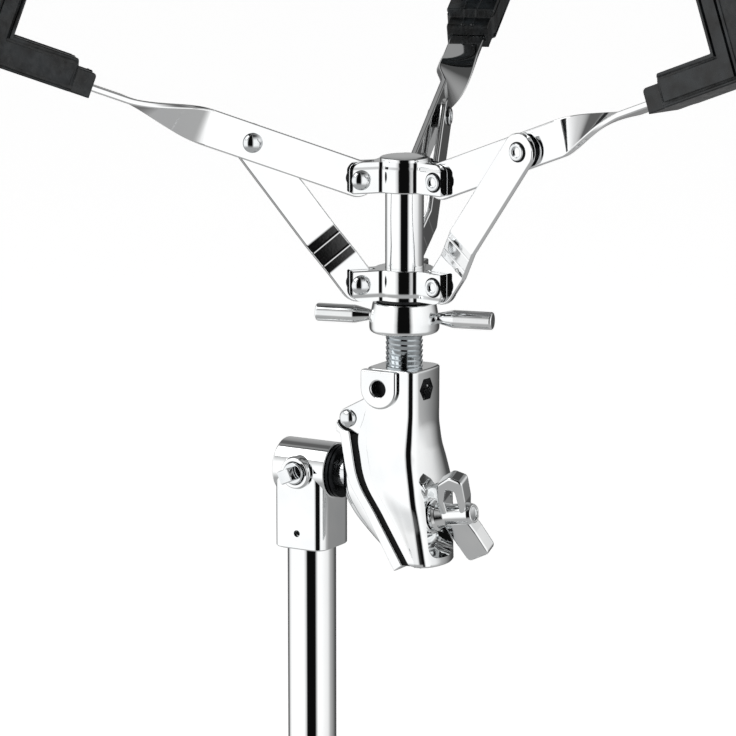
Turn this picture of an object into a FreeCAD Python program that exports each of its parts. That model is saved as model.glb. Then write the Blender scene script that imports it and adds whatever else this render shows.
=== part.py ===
import FreeCAD, Part
import math
import os

import Sketcher
from FreeCAD import Placement, Rotation, Vector

# Snare drum stand: folding tripod, two tubes, offset tilter and a three-armed basket.
# Millimetres, +Z up. The origin is on the floor under the tubes' axis, and +X is the
# tilt axis, which points from the tubes to the basket.

SIZES = {
    # Clearances
    "fit": 0.05,
    "gap": 0.3,
    "edge": 1.0,
    "sink": 1.0,
    # Tubes
    "upper_tube_d": 22.2,
    "upper_tube_wall": 1.6,
    "upper_tube_low": 130.0,
    "lower_tube_d": 28.6,
    "lower_tube_wall": 1.6,
    "lower_tube_low": 24.0,
    "plug_flange": 4.0,
    "plug_depth": 12.0,
    # Height clamp and memory lock
    "clamp_top": 288.0,
    "clamp_height": 38.0,
    "clamp_radius": 19.0,
    "clamp_lip": 3.0,
    "clamp_chamfer": 1.5,
    "ear_reach": 38.0,
    "ear_height": 22.0,
    "ear_width": 22.0,
    "ear_slit": 3.0,
    "ear_bolt_reach": 30.0,
    "ear_round": 3.0,
    "bolt_overhang": 2.0,
    "bush_flange": 2.0,
    "bush_depth": 36.0,
    "lock_height": 20.0,
    "lock_radius": 17.0,
    "lock_ear_reach": 27.0,
    "lock_ear_height": 13.0,
    "lock_ear_width": 17.0,
    "lock_bolt_reach": 21.5,
    # Wing bolts
    "bolt_radius": 3.0,
    "bolt_hub_radius": 6.0,
    "bolt_hub_length": 9.0,
    "bolt_wing_span": 38.0,
    "bolt_wing_height": 15.0,
    "bolt_wing_thick": 5.0,
    "bolt_wing_edge": 1.5,
    "nut_across": 11.5,
    "nut_thick": 5.5,
    # Tripod
    "collar_radius": 18.5,
    "leg_pivot_r": 27.0,
    "leg_slope": 28.0,
    "leg_length": 220.0,
    "leg_width": 14.0,
    "leg_thick": 2.5,
    "leg_lug": 11.4,
    "leg_collar_up": 13.0,
    "leg_collar_down": 12.0,
    "foot_axis_height": 13.0,
    "foot_radius": 11.5,
    "foot_height": 27.0,
    "foot_sole_radius": 9.0,
    "foot_sole_rise": 3.0,
    "foot_neck_drop": 8.0,
    "foot_neck_inset": 4.0,
    "leg_in_foot": 4.0,
    "strut_pivot_r": 25.0,
    "strut_pivot_z": 36.0,
    "strut_join": 98.0,
    "strut_width": 12.0,
    "strut_lug": 3.0,
    "strut_head_rise": 1.1,
    "spacer_wall": 1.5,
    "strut_collar_half": 11.0,
    "strut_collar_radius": 17.5,
    "tripod_rivet_r": 3.0,
    "rivet_head_r": 5.0,
    "rivet_head_rise": 2.2,
    "lock_boss_radius": 7.0,
    "lock_boss_reach": 27.0,
    # Knuckle on the upper tube
    "tilt_height": 450.0,
    "knuckle_radius": 12.8,
    "knuckle_half": 13.6,
    "socket_width": 26.4,
    "socket_round": 6.0,
    "socket_drop": 36.0,
    "socket_floor": 17.0,
    "key_boss_radius": 7.0,
    "key_boss_reach": 15.6,
    "key_head": 6.3,
    "key_head_length": 7.0,
    "key_flange_radius": 5.0,
    "key_flange_thick": 1.6,
    "tube_pin_r": 1.2,
    "tube_pin_drop": 28.5,
    "shaft_radius": 7.0,
    # Offset tilter
    "tilt_offset": 48.6,
    "washer_radius": 11.4,
    "back_face": 16.0,
    "shaft_depth": 8.0,
    "tilter_half": 13.0,
    "tilter_wide": 18.6,
    "jaw_gap": 3.4,
    "jaw_top_x": 27.8,
    "jaw_top_z": 20.5,
    "jaw_knee_x": 31.4,
    "jaw_knee_z": -0.5,
    "jaw_bend_x": 40.4,
    "jaw_bend_z": -13.5,
    "jaw_low_x": 55.0,
    "jaw_low_z": -36.9,
    "jaw_toe": 4.4,
    "jaw_toe_drop": 3.0,
    "jaw_flange": 6.0,
    "back_half": 9.6,
    "back_neck": 9.3,
    "back_neck_x": 21.3,
    "back_belly_x": 39.7,
    "back_belly_z": -26.6,
    "front_toe": 8.0,
    "front_toe_rise": 1.9,
    "front_belly": 3.6,
    "front_waist": 3.2,
    "front_waist_z": 0.0,
    "shoulder_z": 26.0,
    "flare_inset": 5.0,
    "front_neck": 1.0,
    "front_neck_z": 15.0,
    "hinge_x": 27.0,
    "hinge_z": 27.9,
    "hinge_lug_r": 4.8,
    "hinge_tongue": 11.4,
    "tongue_half": 3.8,
    "tongue_low": 1.2,
    "tongue_drop": 13.0,
    "lug_step": 10.5,
    "lug_root": 3.0,
    "hinge_pin_r": 2.2,
    "hinge_head_r": 4.0,
    "hinge_head_rise": 2.6,
    "collar_width": 26.0,
    "collar_round": 5.0,
    "collar_top": 52.0,
    "collar_boss_rise": 1.8,
    "collar_boss_radius": 6.5,
    "collar_hole_r": 3.5,
    "collar_hole_drop": 9.0,
    "collar_hole_shift": 4.9,
    "collar_hex_across": 11.0,
    "collar_hex_depth": 2.4,
    "collar_hex_shift": 3.0,
    # Wing nut of the tilter
    "stud_x": 64.5,
    "stud_z": -15.0,
    "stud_slope": -9.0,
    "stud_radius": 4.0,
    "stud_back": 26.0,
    "stud_front": 20.0,
    "wing_hub_radius": 7.5,
    "wing_hub_length": 14.0,
    "wing_short": 21.0,
    "wing_long": 22.5,
    "wing_thick": 8.5,
    "wing_width": 15.0,
    "wing_turn": 22.0,
    "wing_edge": 1.0,
    # Basket post, hubs and nut
    "post_d": 17.2,
    "thread_d": 16.3,
    "thread_pitch": 2.31,
    "thread_depth": 1.1,
    "thread_climb": 16.5,
    "post_sink": 26.0,
    "hub_rise": 137.2,
    "hub_drop": 46.8,
    "hub_pivot_r": 21.9,
    "hub_barrel_r": 13.4,
    "hub_lug_reach": 26.0,
    "hub_lug_half": 5.65,
    "hub_tall": 7.6,
    "hub_short": 6.2,
    "hub_round": 4.0,
    "cap_radius": 11.0,
    "cap_rise": 2.4,
    "thrust_thick": 1.4,
    "thrust_radius": 12.6,
    "nut_top_r": 14.1,
    "nut_low_r": 15.7,
    "nut_height": 13.8,
    "nut_low_round": 2.0,
    "nut_waist": 5.0,
    "handle_reach": 41.0,
    "handle_radius": 4.05,
    "handle_neck_r": 2.4,
    "handle_start": 11.0,
    "handle_shoulder": 23.0,
    "handle_turn": 13.5,
    "handle_edge": 1.2,
    "handle_neck_out": 0.6,
    # Basket arms and links
    "basket_turn": -12.0,
    "arm_slope": 20.5,
    "arm_join": 51.6,
    "strip_width": 16.4,
    "strip_thick": 2.8,
    "twist_start": 72.0,
    "twist_end": 113.0,
    "arm_end": 175.0,
    "basket_rivet_r": 2.5,
    "dome_radius": 4.5,
    "dome_rise": 2.9,
    "roll_radius": 3.8,
    "roll_rise": 0.9,
    "roll_depth": 0.5,
    "link_bend_start": 14.0,
    "link_bend_end": 25.0,
    "link_clear": 0.4,
    # Rubber tips
    "tip_corner": 170.6,
    "tip_base": 40.3,
    "tip_step": 30.1,
    "tip_up": 10.4,
    "tip_down": 4.5,
    "tip_wall": 12.0,
    "tip_height": 48.0,
    "tip_width": 23.0,
    "tip_neck_width": 20.0,
    "tip_neck_up": 6.6,
    "tip_groove": 2.0,
    "tip_edge": 2.0,
    "tip_slant": 1.5,
}

LEG_TURNS = {"a": 0.0, "b": 120.0, "c": 240.0}
FRONT_TURN = 300.0
TWIST_STEPS = 10
# Shares of a rivet head's radius and height where its dome bends
HEAD_CROWN = 0.55
DOME_SHOULDER = 0.85
DOME_CROWN = 0.4
DOME_LIFT = 0.6
ROLL_HOLLOW = 0.6
ROLL_CROWN = 0.85

doc = FreeCAD.newDocument("SnareDrumStand")
sheet = doc.addObject("Spreadsheet::Sheet", "Sizes")


class Size:
    """A length or an angle together with the sheet formula that gives it."""

    def __init__(self, number, words):
        self.number = number
        self.words = words

    def __float__(self):
        return float(self.number)

    def joined(self, sign, other, number):
        words = other.words if isinstance(other, Size) else repr(float(other))
        return Size(number, "(%s %s %s)" % (self.words, sign, words))

    def __add__(self, other):
        return self.joined("+", other, float(self) + float(other))

    def __sub__(self, other):
        return self.joined("-", other, float(self) - float(other))

    def __mul__(self, other):
        return self.joined("*", other, float(self) * float(other))

    def __truediv__(self, other):
        return self.joined("/", other, float(self) / float(other))

    def __neg__(self):
        return self * -1.0


class Sheet:
    """The sheet's sizes by name."""

    def __init__(self):
        for row, (name, number) in enumerate(SIZES.items(), start=1):
            sheet.set("A%d" % row, name)
            sheet.set("B%d" % row, repr(number))
            sheet.setAlias("B%d" % row, name)
        doc.recompute()
        for name in SIZES:
            setattr(self, name, Size(float(sheet.get(name)), "Sizes.%s" % name))


d = Sheet()
pieces = []


def cosine(angle):
    """The cosine of an angle in degrees, with its formula."""
    return Size(math.cos(math.radians(float(angle))), "cos(%s)" % angle.words)


def sine(angle):
    """The sine of an angle in degrees, with its formula."""
    return Size(math.sin(math.radians(float(angle))), "sin(%s)" % angle.words)


def bind(thing, **sizes):
    """Sets sizes of an object, by formula where the size has one."""
    for name, size in sizes.items():
        if isinstance(size, Size):
            thing.setExpression(name, size.words)
        else:
            setattr(thing, name, size)
    return thing


def put(thing, x=0.0, y=0.0, z=0.0, rotation=None):
    """Places an object, with its position by formula where there is one."""
    thing.Placement = Placement(Vector(float(x), float(y), float(z)), rotation or Rotation())
    for name, size in (("x", x), ("y", y), ("z", z)):
        if isinstance(size, Size):
            thing.setExpression("Placement.Base.%s" % name, size.words)
    return thing


def move(thing, place):
    """Places an object freely, in place of any position by formula."""
    for name in ("x", "y", "z"):
        thing.setExpression("Placement.Base.%s" % name, None)
    thing.Placement = place
    return thing


ALONG = {
    "x": Rotation(Vector(0, 1, 0), 90),
    "y": Rotation(Vector(1, 0, 0), -90),
    "-y": Rotation(Vector(1, 0, 0), 90),
    "z": Rotation(),
}


def about_z(turn):
    return Rotation(Vector(0, 0, 1), float(turn))


def cylinder(name, radius, height, x=0.0, y=0.0, z=0.0, along="z"):
    """A round bar from a point along an axis."""
    thing = bind(doc.addObject("Part::Cylinder", name), Radius=radius, Height=height)
    return put(thing, x, y, z, ALONG[along])


def block(name, length, width, height, x=0.0, y=0.0, z=0.0):
    """A block from its low X corner, centred on y and z."""
    thing = bind(doc.addObject("Part::Box", name), Length=length, Width=width, Height=height)
    low_y = width * -0.5 + y if isinstance(width, Size) else y - width / 2
    low_z = height * -0.5 + z if isinstance(height, Size) else z - height / 2
    return put(thing, x, low_y, low_z)


def fuse(name, *things):
    thing = doc.addObject("Part::MultiFuse", name)
    thing.Shapes = list(things)
    thing.Refine = True
    return thing


def cut(name, base, *tools):
    thing = doc.addObject("Part::Cut", name)
    thing.Base = base
    thing.Tool = tools[0] if len(tools) == 1 else group(name + "_tools", *tools)
    return thing


def common(name, first, second):
    thing = doc.addObject("Part::Common", name)
    thing.Base = first
    thing.Tool = second
    return thing


def group(name, *things):
    thing = doc.addObject("Part::Compound", name)
    thing.Links = list(things)
    return thing


def rounded(name, base, radius, pick):
    """Rounds the edges of an object that a test picks."""
    doc.recompute()
    thing = doc.addObject("Part::Fillet", name)
    thing.Base = base
    picked = [i for i, edge in enumerate(base.Shape.Edges, start=1) if pick(edge)]
    thing.Edges = [(i, float(radius), float(radius)) for i in picked]
    return thing


def upright(edge):
    """True for a straight edge along Z."""
    return abs(edge.tangentAt(edge.FirstParameter).z) > 0.999


def crosswise(edge):
    """True for a straight edge along Y."""
    return abs(edge.tangentAt(edge.FirstParameter).y) > 0.999


def outline(body, role, name, corners):
    """A closed outline of straight edges whose corners are held by bound distances."""
    sketch = body.newObject("Sketcher::SketchObject", name)
    plane = next(item for item in body.Origin.OriginFeatures if item.Role == role)
    sketch.AttachmentSupport = (plane, [""])
    sketch.MapMode = "FlatFace"
    points = [Vector(float(across), float(up), 0) for across, up in corners]
    ends = points[1:] + points[:1]
    sketch.addGeometry([Part.LineSegment(start, end) for start, end in zip(points, ends)], False)
    count = len(points)
    held = [Sketcher.Constraint("Coincident", i, 2, (i + 1) % count, 1) for i in range(count)]
    words = {}
    for i, corner in enumerate(corners):
        for kind, axis, size in (("DistanceX", -2, corner[0]), ("DistanceY", -1, corner[1])):
            if abs(float(size)) < 1e-9:
                held.append(Sketcher.Constraint("PointOnObject", i, 1, axis))
                continue
            if isinstance(size, Size):
                words[len(held)] = size.words
            held.append(Sketcher.Constraint(kind, -1, 1, i, 1, float(size)))
    sketch.addConstraint(held)
    for number, formula in words.items():
        sketch.setExpression("Constraints[%d]" % number, formula)
    return sketch


def turned(name, corners):
    """A solid of revolution about Z from corners of radius and height."""
    body = doc.addObject("PartDesign::Body", name)
    sketch = outline(body, "XZ_Plane", name + "_profile", corners)
    feature = body.newObject("PartDesign::Revolution", name + "_turn")
    feature.Profile = sketch
    feature.ReferenceAxis = (sketch, ["V_Axis"])
    feature.Angle = 360.0
    return body


def plate(name, role, corners, thickness):
    """A plate of even thickness about a plane, from the corners of its outline."""
    body = doc.addObject("PartDesign::Body", name)
    sketch = outline(body, role, name + "_outline", corners)
    feature = body.newObject("PartDesign::Pad", name + "_pad")
    feature.Profile = sketch
    bind(feature, Length=thickness)
    feature.Midplane = True
    return body


def hexagon(name, across, thick):
    """A six-sided prism along Z, by the distance across its corners."""
    thing = doc.addObject("Part::Prism", name)
    thing.Polygon = 6
    return bind(thing, Circumradius=across / 2, Height=thick)


def keep(thing, label, x=0.0, y=0.0, z=0.0, rotation=None):
    """Names and places a finished piece."""
    thing.Label = label
    put(thing, x, y, z, rotation)
    pieces.append(thing)
    return thing


def ring(name, bore, radius, low, high, chamfer=0.0):
    """A turned ring with chamfered outer edges."""
    if float(chamfer) == 0.0:
        return turned(name, [(bore, low), (radius, low), (radius, high), (bore, high)])
    inset = radius - chamfer
    return turned(name, [
        (bore, low), (inset, low), (radius, low + chamfer), (radius, high - chamfer),
        (inset, high), (bore, high)])


def swung(turn, radius, height, tilt=0.0):
    """Placement at a radius and height on one station, pitched down by an angle."""
    here = Placement(Vector(0, 0, 0), about_z(turn))
    out = Placement(Vector(float(radius), 0, float(height)), Rotation(Vector(0, 1, 0), float(tilt)))
    return here.multiply(out)


def tripod_rivet(name, half, rise):
    """A rivet along Z with a low domed head at each end of a stack of plates."""
    crown = d.rivet_head_r * HEAD_CROWN
    tip = half + rise
    return turned(name, [
        (0.0, -tip), (crown, -tip), (d.rivet_head_r, -half), (d.tripod_rivet_r, -half),
        (d.tripod_rivet_r, half), (d.rivet_head_r, half), (crown, tip), (0.0, tip)])


def pivot_collar(name, radius, low, high, pivot_r, lug, lug_height, bore):
    """A collar with three lugs, whose pivots are at height zero."""
    body = ring(name + "_sleeve", bore, radius, low, high, d.clamp_chamfer)
    solids = [body]
    holes = []
    wall = (bore + radius) / 2
    for tag, turn in LEG_TURNS.items():
        arm = block("%s_lug_%s" % (name, tag), pivot_r - wall, lug, lug_height)
        move(arm, swung(turn, wall, 0).multiply(arm.Placement))
        nose = cylinder("%s_nose_%s" % (name, tag), lug_height / 2, lug, along="y")
        move(nose, swung(turn, pivot_r, 0).multiply(
            Placement(Vector(0, float(lug) * -0.5, 0), ALONG["y"])))
        hole = cylinder("%s_hole_%s" % (name, tag), d.tripod_rivet_r + d.fit, lug * 2.0)
        move(hole, swung(turn, pivot_r, 0).multiply(
            Placement(Vector(0, -float(lug), 0), ALONG["y"])))
        solids += [arm, nose]
        holes.append(hole)
    return fuse(name + "_solid", *solids), holes


def collar_rivets(name, half, rise, pivot_r):
    """The three pivot rivets of a collar, at height zero."""
    rivets = []
    for tag, turn in LEG_TURNS.items():
        rivet = tripod_rivet("%s_%s" % (name, tag), half, rise)
        rivet.Placement = swung(turn, pivot_r, 0).multiply(Placement(Vector(0, 0, 0), ALONG["y"]))
        rivets.append(rivet)
    return group(name, *rivets)


def wing_bolt(name, shank):
    """A bolt along -Z from its seat at zero, with a hub and two wings above the seat."""
    half = d.bolt_wing_span / 2
    low = d.bolt_hub_length
    high = low + d.bolt_wing_height
    middle = low + d.bolt_wing_height / 3
    body = turned(name + "_shank", [
        (0.0, -shank), (d.bolt_radius, -shank), (d.bolt_radius, 0.0), (d.bolt_hub_radius, 0.0),
        (d.bolt_hub_radius, low + d.bolt_wing_thick), (0.0, low + d.bolt_wing_thick)])
    wings = plate(name + "_wings", "XZ_Plane", [
        (-d.bolt_hub_radius, low - d.edge), (d.bolt_hub_radius, low - d.edge), (half, middle),
        (half - d.bolt_wing_edge, high), (half * 0.6, high - d.edge), (d.bolt_hub_radius / 2, middle),
        (d.bolt_hub_radius / -2, middle), (half * -0.6, high - d.edge), (-half + d.bolt_wing_edge, high),
        (-half, middle)], d.bolt_wing_thick)
    return fuse(name, body, wings)


upper_r = d.upper_tube_d / 2
lower_r = d.lower_tube_d / 2
lower_bore = lower_r - d.lower_tube_wall
lower_tube_top = d.clamp_top - d.clamp_lip - d.bush_flange


def make_lower_tube():
    """Outer tube of the stand, with a moulded plug in its lower end."""
    length = lower_tube_top - d.lower_tube_low
    keep(ring("lower_tube_body", lower_bore, lower_r, length * 0.0, length),
         "lower_tube", z=d.lower_tube_low)
    snug = lower_bore - d.fit
    plug = turned("tube_plug_body", [
        (0.0, -d.plug_flange), (lower_r - d.edge, -d.plug_flange), (lower_r, -d.plug_flange + d.edge),
        (lower_r, 0.0), (snug, 0.0), (snug, d.plug_depth), (0.0, d.plug_depth)])
    keep(plug, "tube_plug", z=d.lower_tube_low)


def make_strut_collar():
    """Fixed collar low on the lower tube, where the struts turn."""
    half = d.strut_collar_half
    solid, holes = pivot_collar(
        "strut_collar", d.strut_collar_radius, -half, half, d.strut_pivot_r,
        d.strut_lug, d.strut_width, lower_r + d.fit)
    keep(cut("strut_collar_cut", solid, *holes), "strut_collar", z=d.strut_pivot_z)
    stack = d.strut_lug / 2 + d.gap + d.leg_thick + d.gap
    keep(collar_rivets("strut_rivets_group", stack, d.strut_head_rise, d.strut_pivot_r),
         "strut_collar_rivets", z=d.strut_pivot_z)


def make_height_clamp():
    """Split clamp on top of the lower tube, its bush, nut and wing bolt."""
    r = d.clamp_radius
    low = -d.clamp_height
    inset = r - d.clamp_chamfer
    eye = upper_r + d.gap * 2.0
    seat = -d.clamp_lip
    sleeve = turned("height_clamp_sleeve", [
        (lower_r + d.fit, low), (inset, low), (r, low + d.clamp_chamfer), (r, -d.clamp_chamfer),
        (inset, 0.0), (eye, 0.0), (eye, seat), (lower_r + d.fit, seat)])
    middle = d.clamp_height * -0.5
    wall = (lower_r + r) / 2
    ear = block("height_clamp_ear", d.ear_reach - wall, d.ear_width, d.ear_height, x=wall, z=middle)
    outer = float(d.ear_reach - d.edge)
    ear_round = rounded("height_clamp_ear_round", ear, d.ear_round,
                        lambda edge: edge.CenterOfMass.x > outer and crosswise(edge))
    slit = block("height_clamp_slit", d.ear_reach, d.ear_slit, d.clamp_height * 2.0, x=eye / 2, z=middle)
    hole = cylinder("height_clamp_hole", d.bolt_radius + d.fit, d.ear_width * 2.0,
                    x=d.ear_bolt_reach, y=-d.ear_width, z=middle, along="y")
    solid = fuse("height_clamp_solid", sleeve, ear_round)
    keep(cut("height_clamp_cut", solid, slit, hole), "height_clamp",
         z=d.clamp_top, rotation=about_z(FRONT_TURN))
    bore = upper_r + d.fit
    snug = lower_bore - d.fit
    rim = lower_r - d.gap * 2.0
    bush = turned("height_bush_body", [
        (bore, -d.bush_depth), (snug, -d.bush_depth), (snug, 0.0), (rim, 0.0),
        (rim, d.bush_flange), (bore, d.bush_flange)])
    keep(bush, "height_bush", z=lower_tube_top)
    seat_y = d.ear_width / 2
    turn = about_z(FRONT_TURN)
    nut = cut("height_nut_cut", hexagon("height_nut_hex", d.nut_across, d.nut_thick),
              cylinder("height_nut_hole", d.bolt_radius + d.fit, d.nut_thick))
    place = Placement(Vector(0, 0, float(d.clamp_top)), turn)
    at_ear = Vector(float(d.ear_bolt_reach), -float(seat_y), float(middle))
    keep(nut, "height_clamp_nut").Placement = place.multiply(Placement(at_ear, ALONG["-y"]))
    shank = d.ear_width + d.nut_thick + d.gap + d.bolt_overhang
    bolt = wing_bolt("height_bolt_solid", shank)
    at_seat = Vector(float(d.ear_bolt_reach), float(seat_y + d.gap), float(middle))
    keep(bolt, "height_wing_bolt").Placement = place.multiply(Placement(at_seat, ALONG["y"]))


def leg_collar_height():
    return d.foot_axis_height + d.leg_length * sine(d.leg_slope)


def make_leg_collar():
    """Sliding collar that carries the legs, with its rivets and wing bolt."""
    high = d.leg_collar_up
    low = -d.leg_collar_down
    z = leg_collar_height()
    solid, holes = pivot_collar(
        "leg_collar", d.collar_radius, low, high, d.leg_pivot_r, d.leg_lug, d.leg_width,
        lower_r + d.fit)
    wall = (lower_r + d.collar_radius) / 2
    boss = cylinder("leg_collar_boss", d.lock_boss_radius, d.lock_boss_reach - wall)
    turn = swung(FRONT_TURN, 0, 0)
    boss.Placement = turn.multiply(Placement(Vector(float(wall), 0, 0), ALONG["x"]))
    thread = cylinder("leg_collar_thread", d.bolt_radius + d.fit, d.lock_boss_reach)
    thread.Placement = turn.multiply(Placement(Vector(float(lower_r) / 2, 0, 0), ALONG["x"]))
    whole = fuse("leg_collar_whole", solid, boss)
    keep(cut("leg_collar_cut", whole, thread, *holes), "leg_collar", z=z)
    stack = d.leg_lug / 2 + d.gap + d.leg_thick + d.gap
    keep(collar_rivets("leg_rivets_group", stack, d.rivet_head_rise, d.leg_pivot_r),
         "leg_collar_rivets", z=z)
    shank = d.lock_boss_reach + d.gap - lower_r - d.gap
    bolt = wing_bolt("leg_bolt_solid", shank)
    seat = Placement(Vector(float(d.lock_boss_reach + d.gap), 0, float(z)), ALONG["x"])
    keep(bolt, "leg_wing_bolt").Placement = Placement(
        Vector(0, 0, 0), about_z(FRONT_TURN)).multiply(seat)


def strip_with_hole(name, length, width, thick, side, holes):
    """A flat strip along X with a round end at zero, holed at given lengths."""
    bar = block(name + "_bar", length, thick, width, y=side)
    nose = cylinder(name + "_nose", width / 2, thick, y=side - thick / 2, along="y")
    solid = fuse(name + "_solid", bar, nose)
    tools = []
    for count, (station, radius) in enumerate(holes):
        tools.append(cylinder("%s_hole_%d" % (name, count), radius, thick * 3.0, x=station,
                              y=side - thick * 1.5, along="y"))
    return cut(name, solid, *tools)


def half_rivet(name, length, x, y, along):
    """The headed half of a divided rivet, its head at y and its shank pointing inwards."""
    crown = d.rivet_head_r * HEAD_CROWN
    body = turned(name, [
        (0.0, -length), (d.tripod_rivet_r, -length), (d.tripod_rivet_r, 0.0), (d.rivet_head_r, 0.0),
        (crown, d.rivet_head_rise), (0.0, d.rivet_head_rise)])
    return put(body, x, y, 0.0, ALONG[along])


def make_leg(tag, turn):
    """One leg: a pair of strips with the headed halves of the strut rivet, and a rubber foot."""
    inner = d.leg_lug / 2 + d.gap
    side = inner + d.leg_thick / 2
    outer = inner + d.leg_thick
    reach = d.leg_length + d.leg_in_foot
    members = []
    for name, sign in (("near", -1.0), ("far", 1.0)):
        hole_r = d.tripod_rivet_r + d.fit
        holes = [(d.leg_length * 0.0, hole_r), (d.strut_join, hole_r)]
        members.append(strip_with_hole("leg_%s_%s" % (tag, name), reach, d.leg_width, d.leg_thick,
                                       side * sign, holes))
        members.append(half_rivet("leg_%s_%s_rivet" % (tag, name), d.leg_thick, d.strut_join,
                                  outer * sign, "y" if sign > 0 else "-y"))
    frame = group("leg_%s_group" % tag, *members)
    keep(frame, "leg_%s_strips" % tag).Placement = swung(
        turn, d.leg_pivot_r, leg_collar_height(), d.leg_slope)
    r = d.foot_radius
    foot = turned("leg_%s_foot_body" % tag, [
        (0.0, 0.0), (d.foot_sole_radius, 0.0), (r, d.foot_sole_rise), (r, d.foot_height - d.foot_neck_drop),
        (r - d.foot_neck_inset, d.foot_height), (0.0, d.foot_height)])
    slots = []
    for name, sign in (("near", -1.0), ("far", 1.0)):
        slot = block("leg_%s_slot_%s" % (tag, name), d.leg_length, d.leg_thick + d.fit * 2.0,
                     d.leg_width + d.fit * 2.0, y=side * sign)
        pitch = Rotation(Vector(0, 1, 0), float(d.leg_slope))
        into = Placement(Vector(0, 0, float(d.foot_axis_height)), pitch)
        back = Placement(Vector(float(d.leg_in_foot + d.fit - d.leg_length), 0, 0), Rotation())
        move(slot, into.multiply(back).multiply(slot.Placement))
        slots.append(slot)
    reach_out = d.leg_pivot_r + d.leg_length * cosine(d.leg_slope)
    keep(cut("leg_%s_foot_cut" % tag, foot, *slots), "leg_%s_foot" % tag).Placement = swung(
        turn, reach_out, 0.0)


def strut_line():
    """Length and rise angle of a strut, from its collar pivot to its place on the leg."""
    along = float(d.leg_pivot_r + d.strut_join * cosine(d.leg_slope) - d.strut_pivot_r)
    up = float(leg_collar_height() - d.strut_join * sine(d.leg_slope) - d.strut_pivot_z)
    return math.hypot(along, up), math.degrees(math.atan2(up, along))


def make_strut(tag, turn):
    """One strut: a pair of strips inside the leg's, with a spacer sleeve at the leg."""
    inner = d.strut_lug / 2 + d.gap
    side = inner + d.leg_thick / 2
    outer = inner + d.leg_thick
    length, rise = strut_line()
    members = []
    for name, sign in (("near", -1.0), ("far", 1.0)):
        hole_r = d.tripod_rivet_r + d.fit
        strip = strip_with_hole("strut_%s_%s" % (tag, name), length, d.strut_width, d.leg_thick,
                                side * sign, [(0.0, hole_r)])
        end = cylinder("strut_%s_%s_end" % (tag, name), d.strut_width / 2, d.leg_thick, x=length,
                       y=side * sign - d.leg_thick / 2, along="y")
        eye = cylinder("strut_%s_%s_eye" % (tag, name), hole_r, d.leg_thick * 3.0,
                       x=length, y=side * sign - d.leg_thick * 1.5, along="y")
        members.append(cut("strut_%s_%s_cut" % (tag, name),
                           fuse("strut_%s_%s_all" % (tag, name), strip, end), eye))
    sleeve_r = d.tripod_rivet_r + d.spacer_wall
    pin_r = d.tripod_rivet_r
    end = d.leg_lug / 2
    sleeve = turned("strut_%s_sleeve" % tag, [
        (0.0, -end), (sleeve_r, -end), (sleeve_r, -outer), (pin_r, -outer), (pin_r, -inner),
        (sleeve_r, -inner), (sleeve_r, inner), (pin_r, inner), (pin_r, outer), (sleeve_r, outer),
        (sleeve_r, end), (0.0, end)])
    members.append(put(sleeve, length, 0.0, 0.0, ALONG["y"]))
    keep(group("strut_%s_group" % tag, *members), "strut_%s_strips" % tag).Placement = swung(
        turn, d.strut_pivot_r, d.strut_pivot_z, -rise)


def key_bolt(name, shank):
    """A square-headed bolt along -Z from its seat at zero."""
    body = turned(name + "_body", [
        (0.0, -shank), (d.bolt_radius, -shank), (d.bolt_radius, 0.0), (d.key_flange_radius, 0.0),
        (d.key_flange_radius, d.key_flange_thick), (0.0, d.key_flange_thick)])
    head = block(name + "_head", d.key_head, d.key_head, d.key_head_length,
                 x=d.key_head / -2.0, z=d.key_flange_thick + d.key_head_length / 2)
    return fuse(name, body, head)


def make_memory_lock():
    """Split ring that keeps the height, with its square-headed bolt."""
    z = d.clamp_top + d.gap
    sleeve = ring("memory_lock_sleeve", upper_r + d.fit, d.lock_radius, d.lock_height * 0.0,
                  d.lock_height, d.clamp_chamfer)
    wall = (upper_r + d.lock_radius) / 2
    middle = d.lock_height / 2
    ear = block("memory_lock_ear", d.lock_ear_reach - wall, d.lock_ear_width, d.lock_ear_height,
                x=wall, z=middle)
    slit = block("memory_lock_slit", d.lock_ear_reach, d.ear_slit, d.lock_height * 2.0,
                 x=upper_r * 0.9, z=middle)
    hole = cylinder("memory_lock_hole", d.bolt_radius + d.fit, d.lock_ear_width * 2.0,
                    x=d.lock_bolt_reach, y=-d.lock_ear_width, z=middle, along="y")
    solid = fuse("memory_lock_solid", sleeve, ear)
    keep(cut("memory_lock_cut", solid, slit, hole), "memory_lock", z=z, rotation=about_z(FRONT_TURN))
    bolt = key_bolt("memory_bolt_solid", d.lock_ear_width)
    seat = Placement(Vector(float(d.lock_bolt_reach), float(d.lock_ear_width) / 2, float(middle)), ALONG["y"])
    keep(bolt, "memory_lock_bolt").Placement = Placement(
        Vector(0, 0, float(z)), about_z(FRONT_TURN)).multiply(seat)


def make_upper_tube():
    """Inner tube, and the pin that holds the knuckle on it."""
    top = d.tilt_height - d.socket_floor - d.fit
    length = top - d.upper_tube_low
    tube = ring("upper_tube_body", upper_r - d.upper_tube_wall, upper_r, length * 0.0, length)
    pin_z = d.tilt_height - d.tube_pin_drop
    hole = cylinder("upper_tube_hole", d.tube_pin_r + d.fit, d.upper_tube_d,
                    z=pin_z - d.upper_tube_low, along="-y")
    keep(cut("upper_tube_cut", tube, hole), "upper_tube", z=d.upper_tube_low)
    face = d.socket_width / 2
    pin = cylinder("tube_pin_body", d.tube_pin_r, face - d.edge * 1.5 - upper_r + d.upper_tube_wall)
    keep(pin, "knuckle_pin", y=-upper_r + d.upper_tube_wall, z=pin_z, rotation=ALONG["-y"])


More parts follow.
